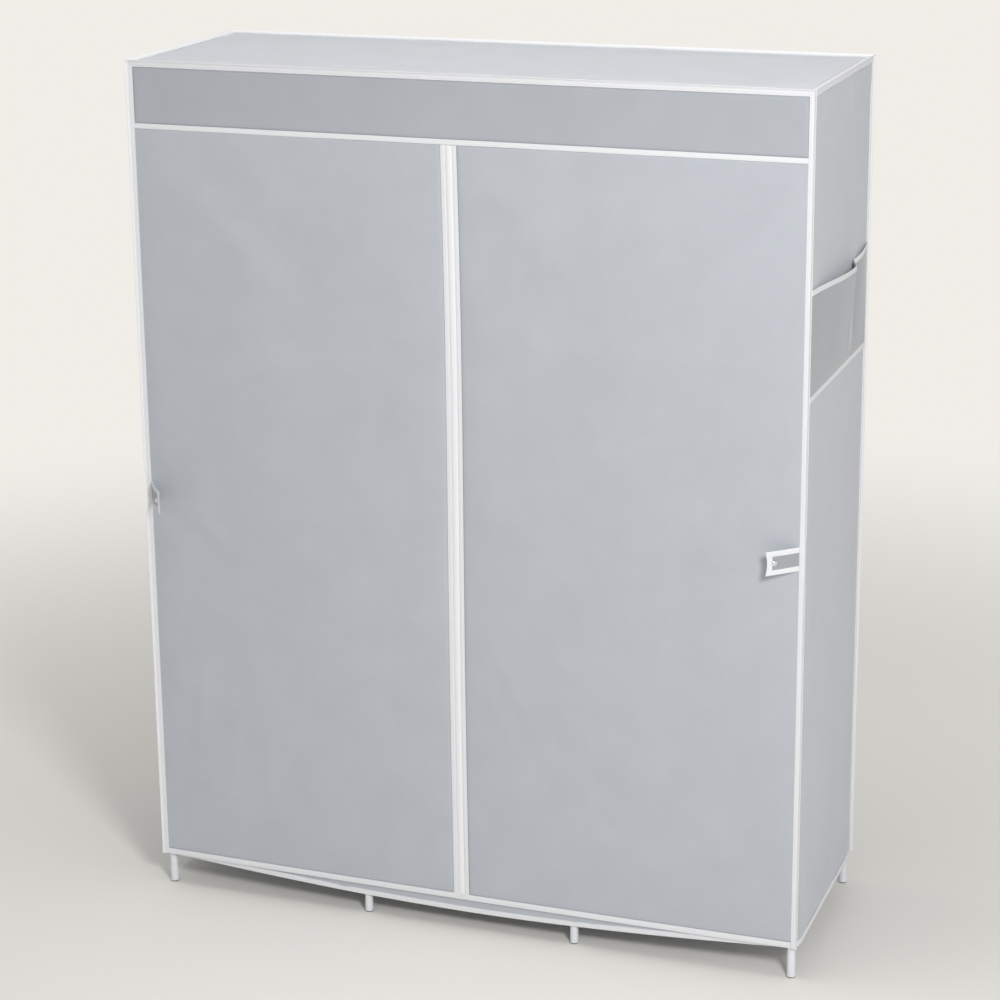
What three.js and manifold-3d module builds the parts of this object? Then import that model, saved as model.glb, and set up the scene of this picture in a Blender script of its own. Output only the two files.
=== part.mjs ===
// Portable fabric wardrobe: a push-together steel tube frame in three bays, under a sewn cloth cover
// with two zipped doors. Millimetres, +Z up. Each function below makes one kind of piece.
import * as THREE from 'three';
import { mergeVertices } from 'three/addons/utils/BufferGeometryUtils.js';
import Module from 'manifold-3d';

const wasm = await Module();
wasm.setup();

// Tube frame
const tubeDiameter = 16;
const tubeWall = 1;
const bayWidth = 430;
const bayCount = 3;
const frameDepth = 430;
const railHeight = 85;
const topRailHeight = 1662;
const shelfHeights = [600, 1130];
const fitGap = 0.3;
const runningGap = 0.6;

// Plastic connectors and feet
const socketWall = 1.9;
const socketReach = 24;
const sleeveLength = 32;
const sleeveCap = 2;
const footHeight = 6;
const footFlare = 0.5;
const footRounding = 1.8;
const footSpigot = 15;
const footWall = 1.4;

// Hanging rods
const clipWall = 1.8;
const clipWidth = 20;
const clipOpening = 115;
const clipNeck = 9;

// Cover cloth
const clothThickness = 0.8;
const tapeThickness = 1.5;
const tapeWidth = 10;
const coverSlack = 2.5;
const doorRoom = 4;
const hemHeight = 66;
const valanceDrop = 126;
const bandHeight = 50;
const bandSag = 30;
const hemDip = 3;
const hemTape = 11;

// Doors and zip
const zipOffset = -14;
const zipWave = 4;
const zipLean = 5;
const zipEdgeTape = 6;
const zipTape = 6.7;
const zipSplit = 1.2;
const coilWidth = 2.6;
const coilDepth = 1.2;
const doorBillow = 5;
const doorCrease = 1.5;
const sliderRest = 126;
const sliderLength = 13;
const sliderWidth = 9.5;
const sliderPlate = 1.3;
const lugLength = 8.2;
const lugWidth = 1.6;
const lugLeg = 1.4;
const lugBridge = 0.8;
const lugRise = 2.9;
const pullLength = 28;
const pullWidth = 8;
const pullThickness = 1.2;
const pullBar = 1.2;
const pullEye = 5;
const pullEyeWidth = 3.4;

// Side pocket
const pocketBottom = 1120;
const pocketTop = 1324;
const pocketBulge = 13;
const pocketSag = 13;

// Tie-back tabs and snaps
const tabHeight = 45;
const tabLength = 64;
const tabMiddle = 833;
const tabThickness = 1.2;
const tabNotch = 3;
const tabDroop = 3;
const tabRootRoom = 1.2;
const snapRadius = 4.8;
const snapRise = 2.2;
const snapShank = 1.9;
const snapBack = 1.2;

// Angles in degrees, counts and shares
const leftTabAngle = 59;
const rightTabAngle = 45;
const tabCurl = 16;
const roundSides = 12;
const cornerSides = 3;
const doorCells = 16;
const bandCells = 20;
const pocketCells = 32;
const pocketRows = 7;
const tabCells = 8;
const tabRows = 4;
const bandRows = 2;
const creasesAcross = 3;
const creasesUp = 2;
const billowShare = 0.5;
const zipWaveShare = 1.6;
const noseShare = 0.25;
const pullNeckShare = 0.75;
const snapShare = 0.78;
const capShares = [[1, 0], [0.9, 0.7], [0.5, 1], [0, 1]];
const standShare = 0.7;
const foldStartShare = 0.64;
const foldEndShare = 0.75;
const foldLiftShare = 0.23;
const backBulgeShare = 0.28;

// Places worked out from the sizes above
const tubeRadius = tubeDiameter / 2;
const boreRadius = tubeRadius + fitGap;
const socketRadius = boreRadius + socketWall - fitGap;
const postColumns = Array.from({ length: bayCount + 1 }, (_, i) => (i - bayCount / 2) * bayWidth);
const innerColumns = postColumns.slice(1, -1);
const postLine = frameDepth / 2;
const tapeProud = tapeThickness - clothThickness;
const coverHalf = postColumns.at(-1) + tubeRadius + coverSlack + tapeThickness;
const coverBack = postLine + tubeRadius + coverSlack + tapeThickness;
const bandFace = postLine + tubeRadius + coverSlack + clothThickness;
const coverFront = bandFace + doorRoom + tapeThickness;
const coverTop = topRailHeight + tubeRadius + coverSlack + tapeThickness;
const frontCloth = coverFront - tapeProud;
const frontInner = coverFront - tapeThickness;
const tapeEdge = coverHalf - tapeWidth;
const valanceHem = coverTop - valanceDrop;
const doorTop = valanceHem - fitGap;
const doorHinge = tapeEdge - fitGap;
const zipBack = frontInner - coilDepth;
const overrun = tubeDiameter;

// Finishes, from the photograph
const finishes = {
  cloth: new THREE.MeshStandardMaterial({ color: 0xb2b7bd, roughness: 0.9, metalness: 0 }),
  tape: new THREE.MeshStandardMaterial({ color: 0xf0f0f2, roughness: 0.85, metalness: 0 }),
  zip: new THREE.MeshStandardMaterial({ color: 0xe9ebee, roughness: 0.6, metalness: 0 }),
  steel: new THREE.MeshStandardMaterial({ color: 0xe9ebf2, roughness: 0.35, metalness: 0.3 }),
  plastic: new THREE.MeshStandardMaterial({ color: 0xe4e6ea, roughness: 0.5, metalness: 0 }),
  snap: new THREE.MeshStandardMaterial({ color: 0xb9bcc0, roughness: 0.25, metalness: 0.9 }),
};

const wardrobe = new THREE.Group();
const frame = new THREE.Group();
const cover = new THREE.Group();
wardrobe.add(frame, cover);

function add(parent, name, finish, geometry) {
  const mesh = new THREE.Mesh(geometry, finishes[finish].clone());
  mesh.name = name;
  parent.add(mesh);
  return mesh;
}

// Turns a closed surface so that its faces point out.
function outward(geometry) {
  const at = geometry.getAttribute('position');
  const index = geometry.getIndex();
  const corners = [new THREE.Vector3(), new THREE.Vector3(), new THREE.Vector3()];
  let volume = 0;
  for (let i = 0; i < index.count; i += 3) {
    corners.forEach((corner, k) => corner.fromBufferAttribute(at, index.getX(i + k)));
    volume += corners[0].dot(corners[1].clone().cross(corners[2]));
  }
  if (volume < 0) geometry.setIndex(Array.from(index.array).reverse());
  return geometry;
}

// Joins and cuts work on merged corners only.
function toSolid(geometry) {
  const bare = geometry.clone();
  bare.deleteAttribute('normal');
  bare.deleteAttribute('uv');
  const merged = outward(mergeVertices(bare));
  return new wasm.Manifold(new wasm.Mesh({
    numProp: 3,
    vertProperties: new Float32Array(merged.getAttribute('position').array),
    triVerts: new Uint32Array(merged.getIndex().array),
  }));
}

function toGeometry(solid) {
  const mesh = solid.getMesh();
  const geometry = new THREE.BufferGeometry();
  geometry.setAttribute('position', new THREE.BufferAttribute(mesh.vertProperties, 3));
  geometry.setIndex(new THREE.BufferAttribute(mesh.triVerts, 1));
  return geometry;
}

function join(geometries) {
  return geometries.map(toSolid).reduce((whole, piece) => whole.add(piece));
}

function cut(solid, geometries) {
  return geometries.map(toSolid).reduce((rest, tool) => rest.subtract(tool), solid);
}

function lerp(from, to, share) {
  return from + (to - from) * share;
}

// A sheet of cloth or tape: two skins over a grid, joined round the rim. point(u, v, face) gives a
// corner as [x, y, z], with face 1 on the outer skin and -1 on the inner one.
function sheet(cols, rows, point) {
  const positions = [1, -1].flatMap((face) => (
    Array.from({ length: rows + 1 }, (_, j) => (
      Array.from({ length: cols + 1 }, (__, i) => point(i / cols, j / rows, face))
    )).flat(2)
  ));
  const skin = (cols + 1) * (rows + 1);
  const at = (i, j) => j * (cols + 1) + i;
  const index = [];
  const quad = (a, b, c, d) => index.push(a, b, c, a, c, d);
  for (let j = 0; j < rows; j += 1) {
    for (let i = 0; i < cols; i += 1) {
      quad(at(i, j), at(i + 1, j), at(i + 1, j + 1), at(i, j + 1));
      quad(skin + at(i, j), skin + at(i, j + 1), skin + at(i + 1, j + 1), skin + at(i + 1, j));
    }
  }
  const side = (a, b) => quad(a, skin + a, skin + b, b);
  for (let i = 0; i < cols; i += 1) {
    side(at(i, 0), at(i + 1, 0));
    side(at(i + 1, rows), at(i, rows));
  }
  for (let j = 0; j < rows; j += 1) {
    side(at(cols, j), at(cols, j + 1));
    side(at(0, j + 1), at(0, j));
  }
  const geometry = new THREE.BufferGeometry();
  geometry.setAttribute('position', new THREE.Float32BufferAttribute(positions, 3));
  geometry.setIndex(index);
  return outward(geometry);
}

// A flat piece between two corners, given as [x, y, z] each.
function slab(low, high) {
  const box = new THREE.BoxGeometry(1, 1, 1);
  const at = box.getAttribute('position');
  for (let i = 0; i < at.count; i += 1) {
    const corner = [at.getX(i), at.getY(i), at.getZ(i)].map((end, k) => (end < 0 ? low[k] : high[k]));
    at.setXYZ(i, ...corner);
  }
  return box;
}

// A round solid turned about its own axis, from [radius, height] pairs that close on themselves or on
// the axis, then laid along the X, Y or Z axis.
function turned(profile, axis = 'z') {
  const points = profile.map(([radius, height]) => new THREE.Vector2(radius, height));
  const geometry = new THREE.LatheGeometry(points, roundSides);
  geometry.rotateX(Math.PI / 2);
  if (axis === 'x') geometry.rotateY(Math.PI / 2);
  if (axis === 'y') geometry.rotateX(-Math.PI / 2);
  return geometry;
}

function bar(radius, from, to, axis) {
  return turned([[0, from], [radius, from], [radius, to], [0, to]], axis);
}

function tube(outer, inner, from, to, axis) {
  return turned([[inner, from], [outer, from], [outer, to], [inner, to], [inner, from]], axis);
}

// Posts stand on round feet whose spigots plug the tube's open end.
function post() {
  const top = topRailHeight + socketRadius - sleeveCap - fitGap;
  return tube(tubeRadius, tubeRadius - tubeWall, footHeight + fitGap, top, 'z');
}

function foot() {
  const head = tubeRadius + footFlare;
  const spigot = tubeRadius - tubeWall - fitGap;
  const hollow = spigot - footWall;
  const arc = Array.from({ length: cornerSides + 1 }, (_, i) => {
    const turn = (i / cornerSides) * (Math.PI / 2);
    return [
      head - footRounding + footRounding * Math.sin(turn),
      footRounding - footRounding * Math.cos(turn),
    ];
  });
  return turned([
    [0, 0],
    ...arc,
    [head, footHeight],
    [spigot, footHeight],
    [spigot, footHeight + footSpigot],
    [hollow, footHeight + footSpigot],
    [hollow, footHeight],
    [0, footHeight],
  ]);
}

// One rail of the frame: tubes along X, fused to the plastic sleeves that the posts pass through.
// inward is the Y direction of the sockets for the cross tubes, or 0 for none.
function rail(columns, inward, capped) {
  const first = columns[0];
  const last = columns.at(-1);
  const sleeveTop = capped ? socketRadius : sleeveLength / 2;
  const boreTop = capped ? socketRadius - sleeveCap : sleeveLength / 2 + overrun;
  const solids = [bar(tubeRadius, first, last, 'x')];
  const bores = [bar(tubeRadius - tubeWall, first, last, 'x')];
  for (const x of columns) {
    const from = Math.max(first, x - socketReach);
    const to = Math.min(last, x + socketReach);
    solids.push(bar(socketRadius, from, to, 'x'));
    solids.push(bar(socketRadius, sleeveTop - sleeveLength, sleeveTop, 'z').translate(x, 0, 0));
    bores.push(bar(boreRadius, sleeveTop - sleeveLength - overrun, boreTop, 'z').translate(x, 0, 0));
    if (inward) {
      const socket = bar(socketRadius, 0, socketReach, 'y');
      const hole = bar(boreRadius, socketRadius, socketReach + overrun, 'y');
      const turn = inward > 0 ? 0 : Math.PI;
      solids.push(socket.rotateZ(turn).translate(x, 0, 0));
      bores.push(hole.rotateZ(turn).translate(x, 0, 0));
    }
  }
  return toGeometry(cut(join(solids), bores));
}

function crossTube() {
  const end = postLine - socketRadius - fitGap;
  return tube(tubeRadius, tubeRadius - tubeWall, -end, end, 'y');
}

// A hanging rod: a tube whose two snap clips hold the cross tubes from below.
function hangingRod() {
  const reach = bayWidth / 2;
  const drop = boreRadius + clipWall + tubeRadius;
  const outer = boreRadius + clipWall;
  const start = Math.PI / 2 + THREE.MathUtils.degToRad(clipOpening) / 2;
  const end = 2 * Math.PI + Math.PI / 2 - THREE.MathUtils.degToRad(clipOpening) / 2;
  const outline = new THREE.Shape();
  outline.absarc(0, 0, outer, start, end, false);
  outline.absarc(0, 0, boreRadius, end, start, true);
  const section = { depth: clipWidth, bevelEnabled: false, curveSegments: roundSides };
  const solids = [bar(tubeRadius, -reach - clipNeck / 2, reach + clipNeck / 2, 'x').translate(0, 0, -drop)];
  const bores = [bar(tubeRadius - tubeWall, -reach - overrun, reach + overrun, 'x').translate(0, 0, -drop)];
  for (const x of [-reach, reach]) {
    const clip = new THREE.ExtrudeGeometry(outline, section);
    solids.push(clip.translate(0, 0, -clipWidth / 2).rotateX(Math.PI / 2).translate(x, 0, 0));
    const low = [x - clipNeck / 2, -clipWidth / 2, -drop];
    const high = [x + clipNeck / 2, clipWidth / 2, -outer + clipWall / 2];
    solids.push(slab(low, high));
  }
  return toGeometry(cut(join(solids), bores));
}

// Shelf cloth hangs between two rails, with a sleeve sewn round each of them.
function sleeveOutline() {
  const outer = boreRadius + clothThickness;
  const outline = new THREE.Shape();
  outline.absarc(-postLine, 0, outer, -Math.PI / 2, -Math.PI * 1.5, true);
  outline.absarc(postLine, 0, outer, Math.PI / 2, -Math.PI / 2, true);
  outline.absarc(postLine, 0, boreRadius, -Math.PI / 2, Math.PI / 2, false);
  outline.absarc(-postLine, 0, boreRadius, Math.PI / 2, Math.PI * 1.5, false);
  return outline;
}

function shelfCloth(length) {
  const section = { depth: length, bevelEnabled: false, curveSegments: roundSides / 2 };
  const cloth = new THREE.ExtrudeGeometry(sleeveOutline(), section).translate(0, 0, -length / 2);
  return cloth.rotateX(Math.PI / 2).rotateZ(Math.PI / 2);
}

// The base cloth runs through all the bays and is notched round every post's connector.
function baseCloth() {
  const length = postColumns.at(-1) - postColumns[0] - runningGap;
  const notchHalf = socketReach + runningGap;
  const notchDepth = socketReach + runningGap;
  const notches = postColumns.flatMap((x) => [-1, 1].map((side) => {
    const inner = side * (postLine - notchDepth);
    const outer = side * (postLine + overrun);
    const low = [x - notchHalf, Math.min(inner, outer), -overrun];
    const high = [x + notchHalf, Math.max(inner, outer), overrun];
    return slab(low, high);
  }));
  return toGeometry(cut(toSolid(shelfCloth(length)), notches));
}

function buildFrame() {
  const sides = [['front', -1], ['back', 1]];
  const levels = [['bottom', railHeight, false], ['top', topRailHeight, true]];
  for (const [side, way] of sides) {
    postColumns.forEach((x, i) => {
      add(frame, `post_${side}_${i + 1}`, 'steel', post()).position.set(x, way * postLine, 0);
      add(frame, `foot_${side}_${i + 1}`, 'plastic', foot()).position.set(x, way * postLine, 0);
    });
    for (const [level, z, capped] of levels) {
      const piece = add(frame, `rail_${level}_${side}`, 'steel', rail(postColumns, -way, capped));
      piece.position.set(0, way * postLine, z);
    }
    shelfHeights.forEach((z, i) => {
      const piece = add(frame, `shelf_rail_${i + 1}_${side}`, 'steel', rail(innerColumns, 0, false));
      piece.position.set(0, way * postLine, z);
    });
  }
  for (const [level, z] of levels) {
    postColumns.forEach((x, i) => {
      add(frame, `cross_tube_${level}_${i + 1}`, 'steel', crossTube()).position.set(x, 0, z);
    });
  }
  const shelfLength = bayWidth - 2 * (socketReach + runningGap);
  shelfHeights.forEach((z, i) => {
    add(frame, `shelf_cloth_${i + 1}`, 'cloth', shelfCloth(shelfLength)).position.set(0, 0, z);
  });
  add(frame, 'base_cloth', 'cloth', baseCloth()).position.set(0, 0, railHeight);
  for (const [side, way] of [['left', -1], ['right', 1]]) {
    const middle = way * bayWidth * (bayCount - 1) / 2;
    add(frame, `hanging_rod_${side}`, 'steel', hangingRod()).position.set(middle, 0, topRailHeight);
  }
}

// The flat panels of the cover stop just short of the tape that binds their seams.
function buildPanels() {
  const x = tapeEdge - fitGap;
  const front = coverFront - tapeWidth - fitGap;
  const back = coverBack - tapeWidth - fitGap;
  const low = hemHeight + hemTape + fitGap;
  const high = coverTop - tapeWidth - fitGap;
  const outer = coverHalf - tapeProud;
  const inner = coverHalf - tapeThickness;
  const roof = coverTop - tapeProud;
  const lining = coverTop - tapeThickness;
  const valanceLow = valanceHem + tapeWidth + fitGap;
  add(cover, 'cover_top', 'cloth', slab([-x, -front, lining], [x, back, roof]));
  add(cover, 'cover_side_left', 'cloth', slab([-outer, -front, low], [-inner, back, high]));
  add(cover, 'cover_side_right', 'cloth', slab([inner, -front, low], [outer, back, high]));
  add(cover, 'cover_back', 'cloth', slab(
    [-x, coverBack - tapeThickness, low],
    [x, coverBack - tapeProud, high],
  ));
  add(cover, 'front_valance', 'cloth', slab([-x, -frontCloth, valanceLow], [x, -frontInner, high]));
  add(cover, 'valance_hem', 'tape', slab(
    [-x, -coverFront, valanceHem],
    [x, -frontInner, valanceHem + tapeWidth],
  ));
}

// The strip under the doors hangs from its two ends only, so it sags along its length.
function bandDrop(x) {
  return bandSag * Math.sin((Math.PI * (x + coverHalf)) / (2 * coverHalf));
}

function bottomBand() {
  const reach = coverHalf - tapeThickness - fitGap;
  return sheet(bandCells, bandRows, (u, v, face) => {
    const x = lerp(-reach, reach, u);
    const z = lerp(hemHeight + hemTape + fitGap, hemHeight + bandHeight, v) - bandDrop(x);
    const y = face > 0 ? -bandFace : -bandFace + clothThickness;
    return [x, y, z];
  });
}

function bandHem() {
  const reach = coverHalf - tapeThickness / 2;
  return sheet(bandCells, 1, (u, v, face) => {
    const x = lerp(-reach, reach, u);
    const z = hemHeight + v * hemTape - bandDrop(x);
    const y = face > 0 ? -bandFace - tapeProud / 2 : -bandFace + clothThickness + tapeProud / 2;
    return [x, y, z];
  });
}

// All the tape that edges the cover is one sewn run: four uprights, the top edge and the bottom hem,
// folded over the corners. It is a thin box with a window for each panel and for the doors.
function coverTape() {
  const lining = coverHalf - tapeThickness;
  const front = -coverFront + tapeWidth;
  const back = coverBack - tapeWidth;
  const hemTop = hemHeight + hemTape;
  const eaves = coverTop - tapeWidth;
  const below = hemHeight - overrun;
  const box = slab([-coverHalf, -coverFront, hemHeight], [coverHalf, coverBack, coverTop]);
  const cage = cut(toSolid(box), [
    slab([-lining, -frontInner, below], [lining, coverBack - tapeThickness, coverTop - tapeThickness]),
    slab([-tapeEdge, -coverFront - overrun, below], [tapeEdge, 0, eaves]),
    slab([-tapeEdge, 0, hemTop], [tapeEdge, coverBack + overrun, eaves]),
    slab([-coverHalf - overrun, front, hemTop], [coverHalf + overrun, back, eaves]),
    slab([-tapeEdge, front, eaves], [tapeEdge, back, coverTop + overrun]),
  ]);
  return toGeometry(cage.add(toSolid(bandHem())));
}

// The zip's middle line wanders a little, because the cloth hangs free between its top and its hem.
function zipLine(z) {
  const share = (doorTop - z) / (doorTop - hemHeight);
  const wave = Math.sin(Math.PI * share * zipWaveShare) * (1 - share);
  return zipOffset + zipLean * (share - 1 / 2) + zipWave * wave;
}

function doorHem(x) {
  return hemHeight - hemDip * Math.sin((Math.PI * (x + coverHalf)) / (2 * coverHalf));
}

// Cloth of a door, from its outer seam to the tape beside the zip. way is -1 for left, 1 for right.
function doorCloth(way) {
  return sheet(doorCells, doorCells, (u, v, face) => {
    const low = doorHem(lerp(way * doorHinge, zipOffset, u)) + hemTape + fitGap;
    const z = lerp(low, doorTop, v);
    const edge = zipLine(z) + way * (zipTape + zipEdgeTape + fitGap);
    const x = lerp(way * doorHinge, edge, u);
    const rim = Math.sin(Math.PI * u) * Math.sin(Math.PI * v);
    const crease = doorCrease * Math.sin(Math.PI * (creasesAcross * u + creasesUp * v));
    const billow = rim * (doorBillow * (1 - billowShare * v) + crease);
    return [x, (face > 0 ? -frontCloth : -frontInner) - billow, z];
  });
}

function doorTape(way) {
  const edge = sheet(1, doorCells, (u, v, face) => {
    const z = lerp(doorHem(zipOffset) + hemTape / 2, doorTop, v);
    const x = zipLine(z) + way * (zipTape + u * zipEdgeTape);
    return [x, face > 0 ? -coverFront : -frontInner, z];
  });
  const hem = sheet(doorCells, 1, (u, v, face) => {
    const inner = zipLine(hemHeight) + way * (zipSplit / 2);
    const x = lerp(way * doorHinge, inner, u);
    return [x, face > 0 ? -coverFront : -frontInner, doorHem(x) + v * hemTape];
  });
  return toGeometry(join([edge, hem]));
}

// One half of the zip: woven tape with its coil on the inner face.
function zipHalf(way) {
  const low = doorHem(zipOffset) + hemTape + fitGap;
  const tape = sheet(1, doorCells, (u, v, face) => {
    const z = lerp(low, doorTop, v);
    const x = zipLine(z) + way * lerp(zipSplit / 2, zipTape - fitGap, u);
    return [x, face > 0 ? -frontCloth : -frontInner, z];
  });
  const coil = sheet(1, doorCells, (u, v, face) => {
    const z = lerp(low, doorTop, v);
    const x = zipLine(z) + way * (zipSplit / 2 + u * coilWidth);
    return [x, face > 0 ? -frontInner - clothThickness / 2 : -zipBack, z];
  });
  return toGeometry(join([tape, coil]));
}

// The slider rides on the coil inside the cover, and its lug carries the pull.
function slider() {
  const half = sliderLength / 2;
  const nose = sliderWidth * noseShare;
  const outline = new THREE.Shape();
  outline.moveTo(-sliderWidth / 2, half);
  outline.lineTo(-sliderWidth / 2, 0);
  outline.quadraticCurveTo(-sliderWidth / 2, -half, -nose, -half);
  outline.lineTo(nose, -half);
  outline.quadraticCurveTo(sliderWidth / 2, -half, sliderWidth / 2, 0);
  outline.lineTo(sliderWidth / 2, half);
  outline.quadraticCurveTo(0, half - nose, -sliderWidth / 2, half);
  const section = { depth: sliderPlate, bevelEnabled: false, curveSegments: cornerSides };
  const plate = new THREE.ExtrudeGeometry(outline, section).rotateX(Math.PI / 2).translate(0, sliderPlate, 0);
  const out = sliderPlate + lugRise;
  const legs = [-1, 1].map((end) => {
    const low = end > 0 ? lugLength / 2 - lugLeg : -lugLength / 2;
    return slab([-lugWidth / 2, sliderPlate / 2, low], [lugWidth / 2, out, low + lugLeg]);
  });
  const bridge = slab([-lugWidth / 2, out - lugBridge, -lugLength / 2], [lugWidth / 2, out, lugLength / 2]);
  return toGeometry(join([plate, ...legs, bridge]));
}

// The pull hangs by the bar of its eye, which passes under the slider's lug.
function pull() {
  const half = pullWidth / 2;
  const tip = -pullLength;
  const outline = new THREE.Shape();
  outline.moveTo(-half * pullNeckShare, pullBar / 2);
  outline.lineTo(half * pullNeckShare, pullBar / 2);
  outline.lineTo(half, -pullBar);
  outline.lineTo(half, tip + half);
  outline.absarc(0, tip + half, half, 0, -Math.PI, true);
  outline.lineTo(-half, -pullBar);
  const eye = new THREE.Path();
  eye.moveTo(-pullEyeWidth / 2, -pullBar / 2);
  eye.lineTo(-pullEyeWidth / 2, -pullBar / 2 - pullEye);
  eye.lineTo(pullEyeWidth / 2, -pullBar / 2 - pullEye);
  eye.lineTo(pullEyeWidth / 2, -pullBar / 2);
  outline.holes.push(eye);
  const section = { depth: pullThickness, bevelEnabled: false, curveSegments: roundSides / 2 };
  return new THREE.ExtrudeGeometry(outline, section).translate(0, 0, -pullThickness / 2).rotateX(Math.PI / 2);
}

function buildFront() {
  add(cover, 'front_bottom_band', 'cloth', bottomBand());
  add(cover, 'cover_binding', 'tape', coverTape());
  for (const [side, way] of [['left', -1], ['right', 1]]) {
    add(cover, `door_${side}`, 'cloth', doorCloth(way));
    add(cover, `door_${side}_binding`, 'tape', doorTape(way));
    add(cover, `zip_${side}`, 'zip', zipHalf(way));
  }
  const place = new THREE.Group();
  place.position.set(zipLine(sliderRest), -zipBack + fitGap, sliderRest);
  cover.add(place);
  add(place, 'zip_slider', 'zip', slider());
  const pullRoom = (lugRise - lugBridge) / 2;
  add(place, 'zip_pull', 'zip', pull()).position.set(0, sliderPlate + pullRoom, 0);
}

// The pocket on the right side is sewn in along three edges. Its mouth stands open and sags, down to a
// deep fold near the back, where the cloth doubles back to the side panel.
function pocketStand(u, v) {
  const front = Math.sin((Math.PI / 2) * Math.min(1, u / foldStartShare));
  const folded = THREE.MathUtils.smoothstep(u, foldStartShare, foldEndShare);
  const behind = Math.sin(Math.PI * Math.max(0, (u - foldEndShare) / (1 - foldEndShare)));
  return v ** standShare * pocketBulge * (front * (1 - folded) + behind * backBulgeShare);
}

function pocketMouth(u) {
  const folded = THREE.MathUtils.smoothstep(u, foldStartShare, foldEndShare);
  const sag = THREE.MathUtils.smoothstep(u, 0, foldStartShare) - folded * foldLiftShare;
  return pocketTop - pocketSag * sag * (1 - THREE.MathUtils.smoothstep(u, foldEndShare, 1));
}

function pocketSheet(rows, low, high, thickness) {
  const front = -coverFront + tapeWidth + fitGap;
  const back = coverBack - tapeWidth - fitGap;
  const skin = coverHalf - tapeProud + fitGap;
  return sheet(pocketCells, rows, (u, v, face) => {
    const z = lerp(low(u), high(u), v);
    const share = (z - pocketBottom - tapeWidth) / (pocketMouth(u) - pocketBottom - tapeWidth);
    const x = skin + pocketStand(u, Math.max(0, share)) + (face > 0 ? thickness : 0);
    return [x, lerp(front, back, u), z];
  });
}

function buildPocket() {
  const hemTop = pocketBottom + tapeWidth;
  add(cover, 'side_pocket', 'cloth', pocketSheet(
    pocketRows,
    () => hemTop + fitGap,
    (u) => pocketMouth(u) - tapeWidth - fitGap,
    clothThickness,
  ));
  add(cover, 'pocket_mouth_binding', 'tape', pocketSheet(
    1,
    (u) => pocketMouth(u) - tapeWidth,
    pocketMouth,
    tapeThickness,
  ));
  const skin = coverHalf - tapeProud + fitGap;
  add(cover, 'pocket_bottom_binding', 'tape', slab(
    [skin, -coverFront + tapeWidth + fitGap, pocketBottom],
    [skin + tapeThickness, coverBack - tapeWidth - fitGap, hemTop],
  ));
}

// A tie-back tab: a short doubled strap, sewn at its root, that stands off the door and curls a little.
// In its own frame it runs along +X and its outer face looks along the Y direction of way.
function tabPoint(u, height, lift, way) {
  const bend = THREE.MathUtils.degToRad(tabCurl);
  const notch = tabNotch * (1 - (2 * height - 1) ** 2);
  const share = u * (1 - notch / tabLength);
  const x = (tabLength * Math.sin(bend * share)) / bend;
  const y = (tabLength * (1 - Math.cos(bend * share))) / bend;
  const z = (height - 1 / 2) * tabHeight - tabDroop * share * share;
  return [x - lift * Math.sin(bend * share), way * (-y + lift * Math.cos(bend * share)), z];
}

function tab(way) {
  const strap = sheet(tabCells, tabRows, (u, v, face) => (
    tabPoint(u, v, face * tabThickness / 2, way)
  ));
  const hole = bar(snapShank + fitGap, -overrun, overrun, 'y');
  return toGeometry(cut(toSolid(strap), [snapPlace(hole, way)]));
}

function snapPlace(geometry, way) {
  const bend = THREE.MathUtils.degToRad(tabCurl) * snapShare;
  const [x, y, z] = tabPoint(snapShare, 1 / 2, 0, way);
  return geometry.rotateZ(-way * bend).translate(x, y, z);
}

function snap(way) {
  const skin = tabThickness / 2 + fitGap;
  const stud = turned([
    [0, -skin - snapBack],
    [snapRadius, -skin - snapBack],
    [snapRadius, -skin],
    [snapShank, -skin],
    [snapShank, skin],
    ...capShares.map(([wide, high]) => [snapRadius * wide, skin + snapRise * high]),
  ], 'y');
  if (way < 0) stud.rotateZ(Math.PI);
  return snapPlace(stud, way);
}

function buildTabs() {
  for (const [side, way, angle] of [['left', -1, leftTabAngle], ['right', 1, rightTabAngle]]) {
    const place = new THREE.Group();
    const root = doorHinge - tabRootRoom;
    place.position.set(way * root, -frontCloth - fitGap - tabThickness / 2, tabMiddle);
    const lay = THREE.MathUtils.degToRad(angle);
    place.rotation.z = way < 0 ? -lay : Math.PI + lay;
    cover.add(place);
    add(place, `tab_${side}`, 'cloth', tab(way));
    add(place, `snap_${side}`, 'snap', snap(way));
  }
}

buildFrame();
buildPanels();
buildFront();
buildPocket();
buildTabs();

// The origin is on the floor, midway between the tip of the left tab and the back of the cover.
const reach = new THREE.Box3().setFromObject(wardrobe, true);
wardrobe.position.y = -(reach.min.y + reach.max.y) / 2;

export default wardrobe;
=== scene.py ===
import math
import bpy
import numpy as np
from mathutils import Matrix, Vector, noise


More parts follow.
